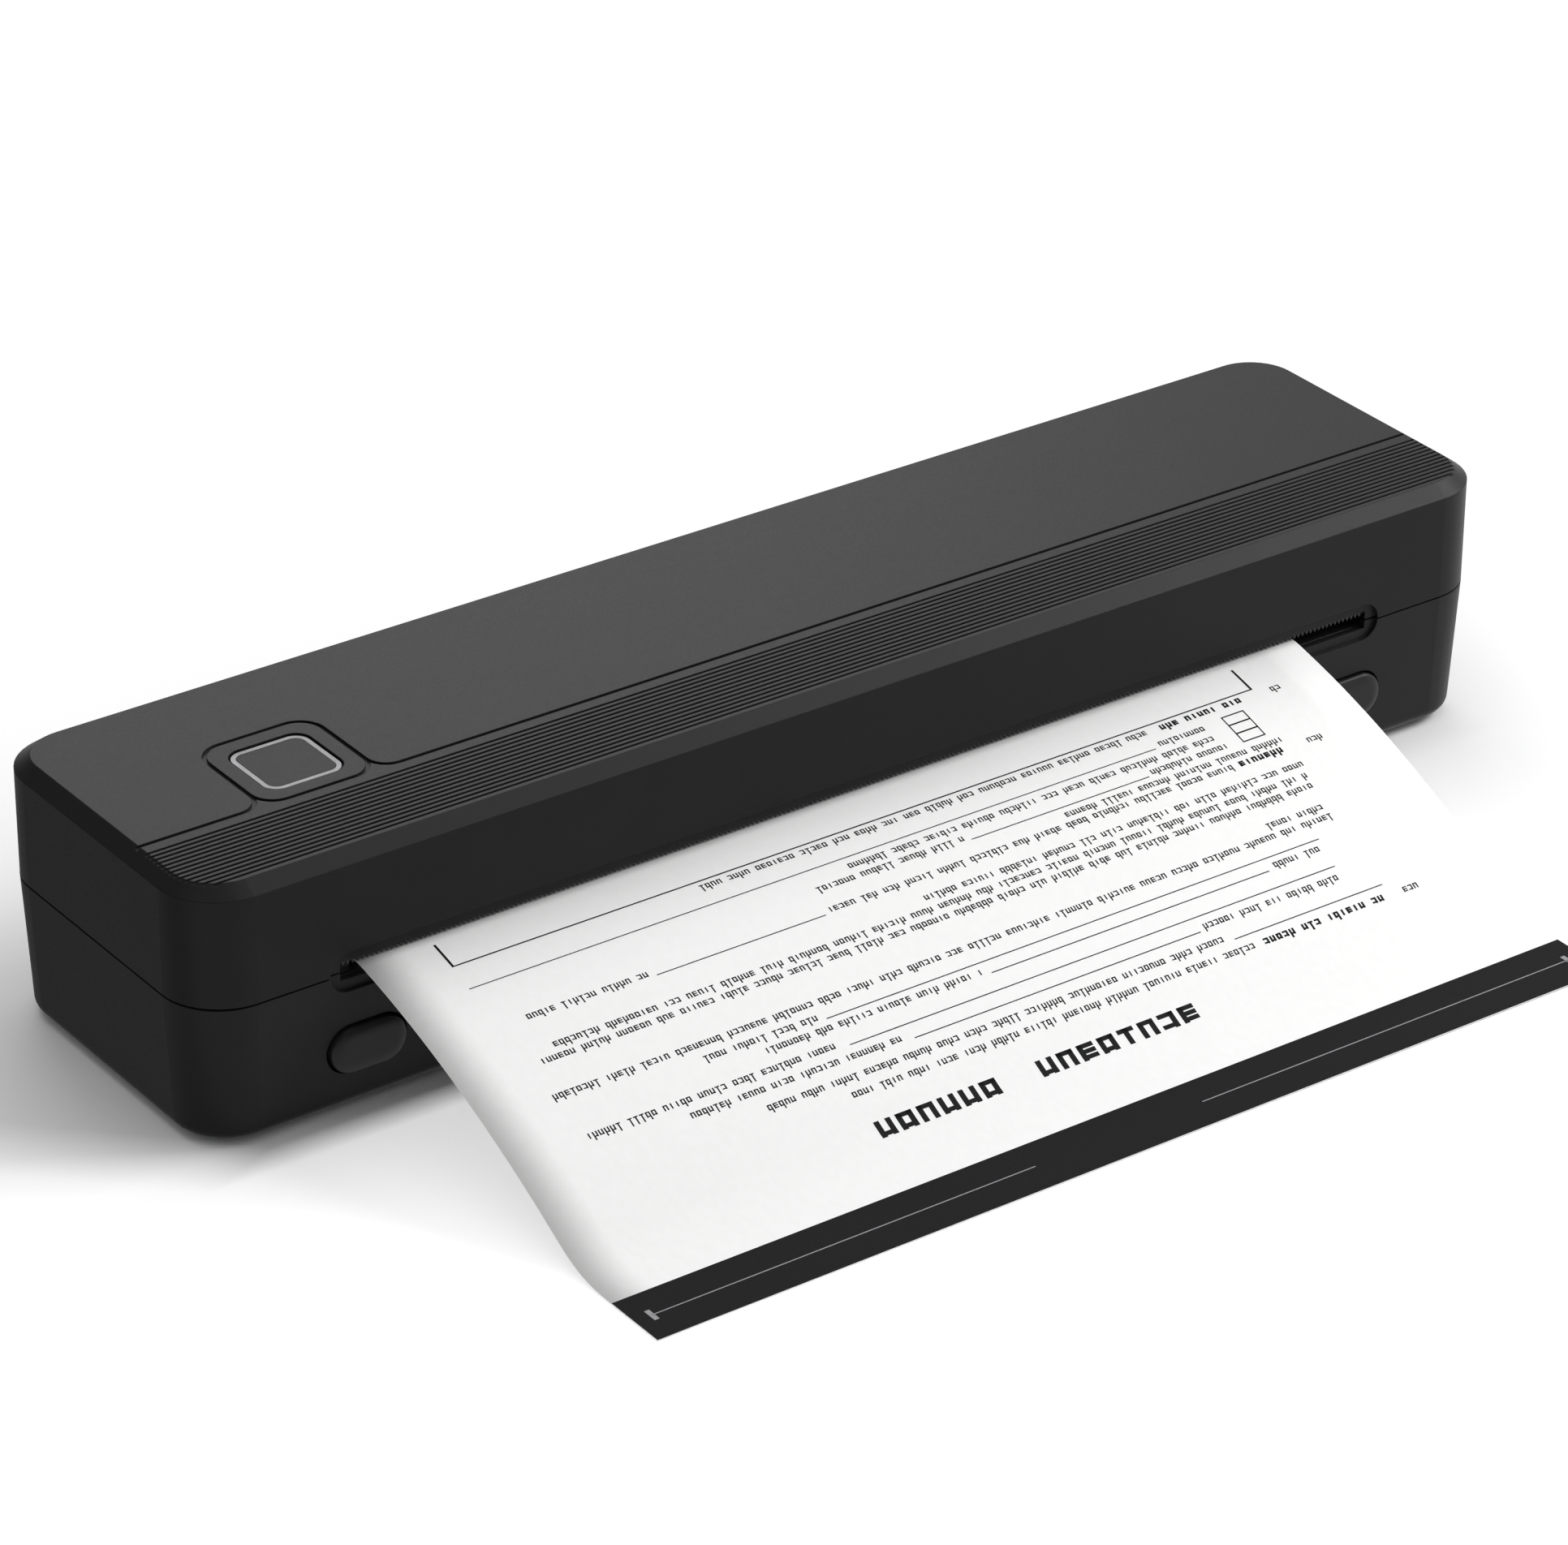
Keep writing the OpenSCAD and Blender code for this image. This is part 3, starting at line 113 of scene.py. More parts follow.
class ShaderGraph:
    """One material's node tree, with the short node chains that the finishes share."""

    def __init__(self, name: str, owner: bpy.types.World | None = None) -> None:
        """Starts a material that holds one Principled shader, or takes a world's nodes.

        Args:
            name: Name of the material.
            owner: World whose nodes it takes, if any.
        """
        self.material = owner or bpy.data.materials.new(name)
        self.material.use_nodes = True
        self.nodes = self.material.node_tree.nodes
        self.shader = self.nodes.get("Principled BSDF")

    def add(self, kind: str, **settings: Any) -> bpy.types.Node:
        """Adds a node.

        Args:
            kind: Blender's name for the node's type.
            **settings: Attributes to set on the node.

        Returns:
            The new node.
        """
        node = self.nodes.new(kind)
        for key, value in settings.items():
            setattr(node, key, value)
        return node

    def wire(self, source: Socket, target: Socket) -> None:
        """Links one socket to another."""
        self.material.node_tree.links.new(source, target)

    def math(self, operation: str, *terms: Socket | float) -> Socket:
        """Adds a Math node.

        Args:
            operation: Blender's name for what it does.
            *terms: Its inputs, as sockets or numbers.

        Returns:
            The result's socket.
        """
        node = self.add("ShaderNodeMath", operation=operation)
        for term, socket in zip(terms, node.inputs):
            if isinstance(term, Socket):
                self.wire(term, socket)
            else:
                socket.default_value = term
        return node.outputs[0]

    def reflected(self, rays: bpy.types.Node) -> Socket:
        """Returns a socket that is 1 for rays that come off gloss or through glass."""
        return self.math(
            "MAXIMUM", rays.outputs["Is Glossy Ray"], rays.outputs["Is Transmission Ray"]
        )

    def set(self, **values: Any) -> None:
        """Sets constants on the shader's own sockets, spaces in names as underscores."""
        for key, value in values.items():
            self.shader.inputs[key.replace("_", " ")].default_value = value

    def place(self, stretch: Point = (1.0, 1.0, 1.0)) -> Socket:
        """Gives the object's own coordinates, which ride with the piece.

        Args:
            stretch: Factor on each axis.

        Returns:
            The vector socket.
        """
        mapping = self.add("ShaderNodeMapping")
        mapping.inputs["Scale"].default_value = stretch
        self.wire(self.add("ShaderNodeTexCoord").outputs["Object"], mapping.inputs["Vector"])
        return mapping.outputs["Vector"]

    def noise(self, place: Socket, size_mm: float, detail: float = 2.0) -> Socket:
        """Adds noise.

        Args:
            place: Coordinates to read.
            size_mm: Size of its features.
            detail: Number of finer layers.

        Returns:
            The noise's factor socket.
        """
        node = self.add("ShaderNodeTexNoise")
        node.inputs["Scale"].default_value = 1 / (size_mm * MM)
        node.inputs["Detail"].default_value = detail
        self.wire(place, node.inputs["Vector"])
        return node.outputs["Fac"]

    def cells(self, place: Socket, size_mm: float, **settings: Any) -> bpy.types.Node:
        """Adds a pattern of cells.

        Args:
            place: Coordinates to read.
            size_mm: Size of a cell.
            **settings: Attributes to set on the node.

        Returns:
            The pattern's node.
        """
        node = self.add("ShaderNodeTexVoronoi", **settings)
        node.inputs["Scale"].default_value = 1 / (size_mm * MM)
        self.wire(place, node.inputs["Vector"])
        return node

    def spread(
        self, value: Socket, low: float, high: float, start: float = 0.3, end: float = 0.7
    ) -> Socket:
        """Maps a value onto another span.

        Args:
            value: Value to map.
            low: Result at the start.
            high: Result at the end.
            start: Value that gives low.
            end: Value that gives high.

        Returns:
            The result's socket.
        """
        node = self.add("ShaderNodeMapRange")
        spans = (("From Min", start), ("From Max", end), ("To Min", low), ("To Max", high))
        for name, number in spans:
            node.inputs[name].default_value = number
        self.wire(value, node.inputs["Value"])
        return node.outputs["Result"]

    def ramp(self, value: Socket, ramp: Ramp) -> Socket:
        """Maps a value by a ramp, and returns the result's socket."""
        return self.spread(value, ramp.low, ramp.high, ramp.start, ramp.end)

    def tint(self, factor: Socket, first: Colour | Socket, second: Colour | Socket) -> Socket:
        """Mixes two colours.

        Args:
            factor: 0 gives the first and 1 the second.
            first: Linear colour, or a socket that gives one.
            second: Linear colour, or a socket that gives one.

        Returns:
            The mixed colour's socket.
        """
        node = self.add("ShaderNodeMix", data_type="RGBA")
        sockets = {socket.identifier: socket for socket in node.inputs}
        self.wire(factor, sockets["Factor_Float"])
        for name, colour in (("A_Color", first), ("B_Color", second)):
            if isinstance(colour, Socket):
                self.wire(colour, sockets[name])
            else:
                sockets[name].default_value = (*colour, 1.0)
        return next(s for s in node.outputs if s.identifier == "Result_Color")

    def mottle(self, colour: Colour, patches: Span, stretch: Point = (1.0, 1.0, 1.0)) -> None:
        """Varies the base colour a little over the surface.

        Args:
            colour: Mean colour, linear.
            patches: Share by which it varies, and size of the patches in millimetres.
            stretch: Factor on each axis of the coordinates.
        """
        amount, size_mm = patches
        factor = self.spread(self.noise(self.place(stretch), size_mm, detail=3.0), 0.0, 1.0)
        darker = tuple(c * (1 - amount) for c in colour)
        lighter = tuple(min(1.0, c * (1 + amount)) for c in colour)
        self.wire(self.tint(factor, darker, lighter), self.shader.inputs["Base Color"])

    def roughen(self, value: Socket, smooth: float, rough: float) -> None:
        """Varies the roughness between two levels by a noise."""
        self.wire(self.spread(value, smooth, rough), self.shader.inputs["Roughness"])

    def relief(self, height: Socket, depth_mm: float, edge_mm: float = 0.0) -> None:
        """Gives the surface a fine relief, and its edges a small radius.

        Args:
            height: Relief, from 0 to 1.
            depth_mm: Height of the relief.
            edge_mm: Radius of the rounded edges, or 0 for sharp ones.
        """
        bump = self.add("ShaderNodeBump")
        bump.inputs["Strength"].default_value = 1.0
        bump.inputs["Distance"].default_value = depth_mm * MM
        self.wire(height, bump.inputs["Height"])
        if edge_mm:
            bevel = self.add("ShaderNodeBevel", samples=6)
            bevel.inputs["Radius"].default_value = edge_mm * MM
            self.wire(bevel.outputs["Normal"], bump.inputs["Normal"])
        self.wire(bump.outputs["Normal"], self.shader.inputs["Normal"])


@dataclass(frozen=True)
class Finish:
    """A surface's finish, under the name that its material gets."""

    name: str

    def material(self) -> Material:
        """Builds the finish.

        Returns:
            The material.
        """
        graph = ShaderGraph(self.name)
        self.fill(graph)
        return graph.material

    def fill(self, graph: ShaderGraph) -> None:
        """Adds the finish's nodes to a material."""
        raise NotImplementedError


@dataclass(frozen=True)
class MouldedPlastic(Finish):
    """Injection-moulded plastic with a spark-eroded texture."""

    colour: Colour
    roughness: float = 0.45
    grain_mm: float = 0.3
    depth_mm: float = 0.004
    edge_mm: float = 0.25
    specular: float = 0.5
    patches: Span = (0.06, 14.0)
    swing: float = 0.05

    def fill(self, graph: ShaderGraph) -> None:
        """Adds the finish's nodes.

        Args:
            graph: The material's nodes.
        """
        graph.mottle(self.colour, self.patches)
        graph.set(Specular_IOR_Level=self.specular)
        fine = graph.noise(graph.place(), self.grain_mm)
        graph.roughen(fine, self.roughness - self.swing, self.roughness + self.swing)
        graph.relief(fine, self.depth_mm, self.edge_mm)


@dataclass(frozen=True)
class WorkedMetal(Finish):
    """Bare or plated metal with the fine lines of its machining."""

    colour: Colour
    roughness: float = 0.3
    lay: Lay = Lay.NONE
    line_mm: float = 0.12
    depth_mm: float = 0.003
    edge_mm: float = 0.1
    patches: Span = (0.1, 5.0)
    smoother: float = 0.08
    rougher: float = 0.1

    def fill(self, graph: ShaderGraph) -> None:
        """Adds the finish's nodes.

        Args:
            graph: The material's nodes.
        """
        graph.mottle(self.colour, self.patches)
        graph.set(Metallic=1.0)
        lines = graph.noise(graph.place(self.lay.value), self.line_mm, detail=3.0)
        graph.roughen(lines, self.roughness - self.smoother, self.roughness + self.rougher)
        graph.relief(lines, self.depth_mm, self.edge_mm)


@dataclass(frozen=True)
class Spangle(Finish):
    """Zinc-coated steel sheet, with the large crystals of its coating."""

    colour: Colour
    crystal_mm: float = 4.0
    darkest: float = 0.85
    roughness: Span = (0.28, 0.45)
    grain_mm: float = 0.5
    depth_mm: float = 0.002
    edge_mm: float = 0.15

    def fill(self, graph: ShaderGraph) -> None:
        """Adds the finish's nodes.

        Args:
            graph: The material's nodes.
        """
        crystals = graph.cells(graph.place(), self.crystal_mm)
        tone = graph.spread(crystals.outputs["Color"], 0.0, 1.0, 0.0, 1.0)
        darker = tuple(c * self.darkest for c in self.colour)
        graph.wire(graph.tint(tone, darker, self.colour), graph.shader.inputs["Base Color"])
        graph.wire(graph.spread(tone, *self.roughness, 0.0, 1.0), graph.shader.inputs["Roughness"])
        graph.set(Metallic=1.0)
        graph.relief(graph.noise(graph.place(), self.grain_mm), self.depth_mm, self.edge_mm)


@dataclass(frozen=True)
class SoftRubber(Finish):
    """Matt rubber, ground or moulded."""

    colour: Colour
    roughness: float = 0.7
    grain_mm: float = 0.15
    depth_mm: float = 0.008
    lay: Lay = Lay.NONE
    patches: Span = (0.15, 3.0)
    swing: float = 0.08
    specular: float = 0.4
    edge_mm: float = 0.2

    def fill(self, graph: ShaderGraph) -> None:
        """Adds the finish's nodes.

        Args:
            graph: The material's nodes.
        """
        graph.mottle(self.colour, self.patches)
        grain = graph.noise(graph.place(self.lay.value), self.grain_mm, detail=4.0)
        graph.roughen(grain, self.roughness - self.swing, self.roughness + self.swing)
        graph.set(Specular_IOR_Level=self.specular)
        graph.relief(grain, self.depth_mm, self.edge_mm)


@dataclass(frozen=True)
class BoardLaminate(Finish):
    """Circuit board under green lacquer, with tracks and tinned pads."""

    lacquer: Colour = (0.010, 0.085, 0.035)
    track: Colour = (0.035, 0.19, 0.075)
    tin: Colour = (0.62, 0.62, 0.6)
    track_mm: float = 3.2
    pad_mm: float = 2.4
    track_edge: Span = (0.36, 0.4)
    pad_edge: Span = (0.12, 0.14)
    roughness: float = 0.3
    track_height_mm: float = 0.03
    edge_mm: float = 0.1

    def fill(self, graph: ShaderGraph) -> None:
        """Adds the finish's nodes.

        Args:
            graph: The material's nodes.
        """
        place = graph.place((1.0, 1.0, 0.0))
        squares = graph.cells(place, self.track_mm, distance="CHEBYCHEV")
        tracks = graph.spread(squares.outputs["Distance"], 0.0, 1.0, *self.track_edge)
        lacquered = graph.tint(tracks, self.lacquer, self.track)
        dots = graph.cells(place, self.pad_mm)
        pads = graph.spread(dots.outputs["Distance"], 1.0, 0.0, *self.pad_edge)
        colour = graph.tint(pads, lacquered, self.tin)
        graph.wire(colour, graph.shader.inputs["Base Color"])
        graph.wire(pads, graph.shader.inputs["Metallic"])
        graph.set(Roughness=self.roughness)
        graph.relief(tracks, self.track_height_mm, self.edge_mm)


@dataclass(frozen=True)
class CoatedPaper(Finish):
    """Thermal paper: a smooth coat over faint fibres."""

    colour: Colour = (0.93, 0.93, 0.925)
    fibre_mm: float = 0.5
    fibre_lay: Point = (1.0, 0.4, 1.0)
    clouds: Span = (0.012, 1.4)
    cloud_lay: Point = (1.0, 0.5, 1.0)
    roughness: Span = (0.5, 0.6)
    specular: float = 0.35
    depth_mm: float = 0.003

    def fill(self, graph: ShaderGraph) -> None:
        """Adds the finish's nodes.

        Args:
            graph: The material's nodes.
        """
        graph.mottle(self.colour, self.clouds, self.cloud_lay)
        graph.set(Specular_IOR_Level=self.specular)
        fibre = graph.noise(graph.place(self.fibre_lay), self.fibre_mm, detail=4.0)
        graph.roughen(fibre, *self.roughness)
        graph.relief(fibre, self.depth_mm)


@dataclass(frozen=True)
class PrintTone(Finish):
    """Heat-developed print, a little uneven from dot to dot."""

    colour: Colour = (0.008, 0.008, 0.009)
    dots: Span = (0.35, 0.125)
    roughness: float = 0.6
    specular: float = 0.08

    def fill(self, graph: ShaderGraph) -> None:
        """Adds the finish's nodes.

        Args:
            graph: The material's nodes.
        """
        graph.mottle(self.colour, self.dots)
        graph.set(Roughness=self.roughness, Specular_IOR_Level=self.specular)


@dataclass(frozen=True)
class ShrinkSleeve(Finish):
    """Glossy shrink sleeve, with the shallow wrinkles of its shrinking."""

    colour: Colour
    patches: Span = (0.1, 6.0)
    roughness: float = 0.28
    coat: float = 0.3
    coat_roughness: float = 0.1
    wrinkle_mm: float = 5.0
    wrinkle_lay: Point = (1.0, 0.25, 0.25)
    depth_mm: float = 0.25
    edge_mm: float = 0.3

    def fill(self, graph: ShaderGraph) -> None:
        """Adds the finish's nodes.

        Args:
            graph: The material's nodes.
        """
        graph.mottle(self.colour, self.patches)
        graph.set(
            Roughness=self.roughness,
            Coat_Weight=self.coat,
            Coat_Roughness=self.coat_roughness,
        )
        wrinkles = graph.noise(graph.place(self.wrinkle_lay), self.wrinkle_mm, detail=3.0)
        graph.relief(wrinkles, self.depth_mm, self.edge_mm)


# ---- Meshes ----


def mesh_object(name: str, build: Fill, smooth: bool = True) -> Object:
    """Makes an object from a function that fills a bmesh.

    Args:
        name: Name of the object and its mesh.
        build: Function that adds the geometry.
        smooth: Whether its faces are shaded smooth.

    Returns:
        The new object, linked to the scene.
    """
    mesh = bpy.data.meshes.new(name)
    shape = bmesh.new()
    build(shape)
    bmesh.ops.recalc_face_normals(shape, faces=shape.faces)
    for face in shape.faces:
        face.smooth = smooth
    shape.to_mesh(mesh)
    shape.free()
    made = bpy.data.objects.new(name, mesh)
    bpy.context.scene.collection.objects.link(made)
    return made


def add_tube(shape: Shape, path: Sequence[Vector], radius: float, sides: int = 12) -> None:
    """Adds a round tube with flat ends along a path.

    Args:
        shape: Mesh to add to.
        path: Points of its middle line.
        radius: Radius of the tube.
        sides: Number of sides.
    """
    rings = []
    side = None
    for i, point in enumerate(path):
        ahead = path[min(i + 1, len(path) - 1)] - path[max(i - 1, 0)]
        ahead.normalize()
        if side is None:
            side = ahead.orthogonal().normalized()
        side = (side - ahead * side.dot(ahead)).normalized()
        other = ahead.cross(side)
        rings.append(
            [
                shape.verts.new(point + (side * math.cos(a) + other * math.sin(a)) * radius)
                for a in (2 * math.pi * k / sides for k in range(sides))
            ]
        )
    for near, far in zip(rings, rings[1:]):
        for k in range(sides):
            shape.faces.new((near[k], near[(k + 1) % sides], far[(k + 1) % sides], far[k]))
    shape.faces.new(reversed(rings[0]))
    shape.faces.new(rings[-1])


def wind(lines: Sequence[Sequence[Vector]], radius: float) -> Fill:
    """Prepares the wires of some springs.

    Args:
        lines: Middle line of each wire.
        radius: Radius of the wires.

    Returns:
        The function that adds them to a mesh.
    """

    def fill(shape: Shape) -> None:
        """Adds a tube along each line."""
        for line in lines:
            add_tube(shape, line, radius)

    return fill


def coil_path(
    foot: Vector, top: Vector, radius: float, turns: int = 6, steps: int = 24, closing: float = 0.35
) -> list[Vector]:
    """Works out the middle line of a coil spring, whose turns lie closer at its ends.

    Args:
        foot: Middle of its lower end.
        top: Middle of its upper end.
        radius: Radius of the middle line.
        turns: Number of turns.
        steps: Points in each turn.
        closing: Share of the rise that slows down at the ends.

    Returns:
        The points.
    """
    axis = top - foot
    side = axis.orthogonal().normalized()
    other = axis.normalized().cross(side)
    count = turns * steps
    points = []
    for i in range(count + 1):
        share = i / count
        rise = share * share * (3 - 2 * share) * closing + share * (1 - closing)
        a = 2 * math.pi * i / steps
        points.append(foot + axis * rise + (side * math.cos(a) + other * math.sin(a)) * radius)
    return points


def spline_point(before: Vector, start: Vector, end: Vector, after: Vector, share: float) -> Vector:
    """Finds a point on the smooth curve through four points.

    Args:
        before: Point before the stretch.
        start: Start of the stretch.
        end: End of the stretch.
        after: Point after the stretch.
        share: 0 at the start and 1 at the end.

    Returns:
        The point.
    """
    leave, arrive = (end - before) * 0.5, (after - start) * 0.5
    reach = (end - start).length
    for tangent in (leave, arrive):
        if tangent.length > 0:
            tangent *= reach / tangent.length
    s2, s3 = share * share, share**3
    return (
        start * (2 * s3 - 3 * s2 + 1)
        + leave * (s3 - 2 * s2 + share)
        + end * (3 * s2 - 2 * s3)
        + arrive * (s3 - s2)
    )


# ---- Sub-assemblies ----


@dataclass
class Assembly:
    """What every sub-assembly shares: dressing CAD nodes and adding meshes."""

    nodes: dict[str, Object]

    def dress(self, finish: Finish, *names: str) -> None:
        """Gives CAD nodes a finish.

        Args:
            finish: Finish to give.
            *names: Names of the nodes.
        """
        material = finish.material()
        for name in names:
            slots = self.nodes[name].data.materials
            slots.clear()
            slots.append(material)
            LOG.info("dressed %s in %s", name, material.name)

    def mount(self, made: Object, material: Material, body: str, slot: str) -> None:
        """Dresses a new piece and makes it ride on a body.

        Args:
            made: The new piece.
            material: Its material.
            body: CAD body that it moves with.
            slot: The record's material slot for its finish; not used.
        """
        made.data.materials.append(material)
        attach(made, body)
        LOG.info("made %s on %s", made.name, body)


@dataclass
class CaseShells(Assembly):
    """Base, cover and the inner plastic parts that they carry."""

    base: Finish = MouldedPlastic("case_black", (0.0145, 0.0145, 0.0148), 0.46, specular=0.13)
    cover: Finish = MouldedPlastic("cover_grey", (0.0115, 0.0115, 0.0118), 0.42, specular=0.14)
    release: Finish = MouldedPlastic("release_black", (0.0145, 0.0145, 0.0148), 0.36, specular=0.21)
    inner: Finish = MouldedPlastic("inner_plastic", (0.016, 0.016, 0.0165), 0.5, grain_mm=0.6)

    def build(self) -> None:
        """Dresses the shells, the decks and the cover's frame."""
        self.dress(self.base, "base_shell")
        self.dress(self.release, "release_button_left", "release_button_right")
        self.dress(self.cover, "cover_shell", "power_button")
        self.dress(self.inner, "roller_deck", "front_guide", "cover_inner_frame")


@dataclass
class TopControls(Assembly):
    """The power button's bright ring, its board and its switch."""

    ring: Finish = WorkedMetal(
        "ring_silver", (0.27, 0.27, 0.275), 0.5, line_mm=0.2, depth_mm=0.002, edge_mm=0.05
    )
    board: Finish = BoardLaminate("button_board_green")
    switch: Finish = MouldedPlastic("switch_black", (0.015, 0.015, 0.015), 0.35)

    def build(self) -> None:
        """Dresses the ring, the board and the switch."""
        self.dress(self.ring, "button_ring")
        self.dress(self.board, "button_board")
        self.dress(self.switch, "tact_switch")


@dataclass
class TearEdge(Assembly):
    """The toothed bar in the slot."""

    blackened: Finish = MouldedPlastic(
        "tear_bar_black", (0.022, 0.022, 0.0225), 0.4, edge_mm=0.05, specular=0.3
    )

    def build(self) -> None:
        """Dresses the bar."""
        self.dress(self.blackened, "tear_bar")


@dataclass
class FeedDrive(Assembly):
    """Roller, gears, motor and the plates that carry them."""

    shaft: Finish = WorkedMetal("shaft_steel", (0.56, 0.57, 0.58), 0.25, Lay.ROUND_X)
    plate: Finish = Spangle("plate_steel", (0.55, 0.56, 0.57))
    sleeve: Finish = SoftRubber("roller_rubber", (0.022, 0.022, 0.024), 0.6, lay=Lay.ROUND_X)
    acetal: Finish = MouldedPlastic(
        "gear_acetal", (0.72, 0.70, 0.63), 0.38, grain_mm=1.2, depth_mm=0.003, edge_mm=0.08
    )
    can: Finish = WorkedMetal("motor_steel", (0.5, 0.5, 0.51), 0.32, Lay.ALONG_X)
    brass: Finish = WorkedMetal("pinion_brass", (0.78, 0.57, 0.22), 0.28, Lay.ROUND_X, edge_mm=0.05)

    def build(self) -> None:
        """Dresses the drive."""
        self.dress(self.shaft, "roller_shaft", "gear_stud", "motor_shaft")
        self.dress(self.plate, "left_side_plate", "right_side_plate")
        self.dress(self.sleeve, "roller_rubber")
        self.dress(self.acetal, "roller_bushes", "roller_gear", "compound_gear")
        self.dress(self.can, "motor")
        self.dress(self.brass, "motor_pinion")


@dataclass
class Electrics(Assembly):
    """Battery, main board, socket and paper sensor in the base."""

    sleeve: Finish = ShrinkSleeve("cell_sleeve", (0.02, 0.09, 0.30))
    board: Finish = BoardLaminate("main_board_green")
    chip: Finish = MouldedPlastic("chip_black", (0.014, 0.014, 0.014), 0.5, grain_mm=0.2)
    socket: Finish = WorkedMetal("socket_nickel", (0.62, 0.62, 0.63), 0.25)

    def build(self) -> None:
        """Dresses the electrics."""
        self.dress(self.sleeve, "battery_pack")
        self.dress(self.board, "main_board")
        self.dress(self.chip, "board_chips", "paper_sensor")
        self.dress(self.socket, "usb_socket")


@dataclass
class Fasteners(Assembly):
    """Screws, pins, levers, feet and springs."""

    zinc: Finish = WorkedMetal("screw_zinc", (0.5, 0.5, 0.52), 0.3, Lay.ROUND_Z)
    pin: Finish = WorkedMetal("pin_steel", (0.56, 0.57, 0.58), 0.25, Lay.ROUND_X)
    lever: Finish = MouldedPlastic("lever_acetal", (0.70, 0.68, 0.62), 0.4, grain_mm=1.2)
    foot: Finish = SoftRubber(
        "foot_rubber", (0.016, 0.016, 0.016), 0.75, grain_mm=0.3, depth_mm=0.02
    )
    wire: Finish = WorkedMetal("spring_wire", (0.55, 0.55, 0.56), 0.28, line_mm=0.3, edge_mm=0.0)
    latch_wire: float = 0.2 * MM
    head_wire: float = 0.25 * MM
    lever_push: float = 2.4 * MM
    head_rise: float = 0.75 * MM

    def build(self) -> None:
        """Dresses the fasteners and replaces the springs by round wire."""
        zinc = ("base_screws", "board_screws", "cover_screws", "button_board_screws")
        self.dress(self.zinc, *zinc)
        pins = ("latch_pins", "hinge_pins", "striker_pins", "head_pivot_pin")
        self.dress(self.pin, *pins)
        self.dress(self.lever, "latch_lever_left", "latch_lever_right")
        self.dress(self.foot, "rubber_feet")
        wire = self.wire.material()
        self.latch_springs(wire)
        self.head_springs(wire)

    def latch_springs(self, material: Material) -> None:
        """Winds the spring behind each latch lever as a fixed coil on the base; the real spring
        shortens as the lever swings.

        Args:
            material: Material of the wire.
        """
        for end in ("left", "right"):
            low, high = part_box(f"latch_spring_{end}")
            x, z = (low.x + high.x) / 2, (low.z + high.z) / 2
            foot = Vector((x, low.y + self.latch_wire, z))
            top = Vector((x, high.y - self.latch_wire, z))
            line = coil_path(foot, top, (high.x - low.x) / 2 - self.latch_wire)
            made = mesh_object(f"latch_coil_{end}", wind([line], self.latch_wire))
            self.mount(made, material, "base", "spring_wire")
            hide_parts(f"latch_spring_{end}")
            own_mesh(made)

    def head_springs(self, material: Material) -> None:
        """Winds the three springs over the print head as fixed coils on the cover; the real springs
        shorten as it rocks.

        Args:
            material: Material of the wire.
        """
        low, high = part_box("head_springs")
        y = (low.y + high.y) / 2
        radius = (high.y - low.y) / 2
        lines = []
        for x in (low.x + radius, (low.x + high.x) / 2, high.x - radius):
            foot = Vector((x, y, low.z + self.head_wire))
            top = Vector((x, y, high.z - self.head_wire))
            lines.append(coil_path(foot, top, radius - self.head_wire))
        made = mesh_object("head_coils", wind(lines, self.head_wire))
        self.mount(made, material, "cover", "spring_wire")
        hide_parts("head_springs")
        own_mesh(made)


@dataclass
class HeadCarrier(Assembly):
    """Print head and its heatsink."""

    ceramic: Finish = MouldedPlastic(
        "head_ceramic", (0.62, 0.58, 0.50), 0.2, grain_mm=1.5, depth_mm=0.001, edge_mm=0.08
    )
    bar: Finish = WorkedMetal("head_aluminium", (0.66, 0.67, 0.68), 0.35, Lay.ALONG_X)

    def build(self) -> None:
        """Dresses the head."""
        self.dress(self.ceramic, "print_head")
        self.dress(self.bar, "head_heatsink")


class Ink(Enum):
    """Kinds of printed mark in a row."""

    WORDS = "words"
    BOLD = "bold"
    TITLE = "title"
    RULE = "rule"


WORDS, BOLD, TITLE, RULE = Ink


@dataclass(frozen=True)
class Mark:
    """One stretch of a printed row: from and to, in millimetres across the sheet."""

    ink: Ink
    start: float
    end: float


@dataclass(frozen=True)
class TypeSize:
    """Letters of a kind of row, in millimetres; tall is how far an upright may pass them."""

    height: float
    pitch: float
    pen: float
    tall: float = 0.6
    width_share: float = 0.78
    bar_share: float = 0.8


TYPE_SIZES = {
    WORDS: TypeSize(1.15, 1.22, 0.3),
    BOLD: TypeSize(1.3, 1.5, 0.46),
    TITLE: TypeSize(3.5, 4.55, 1.15, tall=0.0),
}


@dataclass(frozen=True)
class LetterForm:
    """Strokes of a made-up letter, as shares of its size, and whether an upright is tall."""

    uprights: tuple[tuple[float, bool], ...]
    bars: tuple[float, ...] = ()


LETTER_FORMS = (
    LetterForm(((0.0, False), (1.0, False)), (0.0, 1.0)),
    LetterForm(((0.0, False), (1.0, False)), (1.0,)),
    LetterForm(((0.0, False), (1.0, False)), (0.0,)),
    LetterForm(((0.0, False),), (0.0, 0.5, 1.0)),
    LetterForm(((1.0, False),), (0.0, 1.0)),
    LetterForm(((0.5, False),)),
    LetterForm(((0.0, True), (1.0, False)), (1.0,)),
    LetterForm(((0.0, False), (1.0, True)), (0.0, 1.0)),
    LetterForm(((0.5, True),), (0.0,)),
)


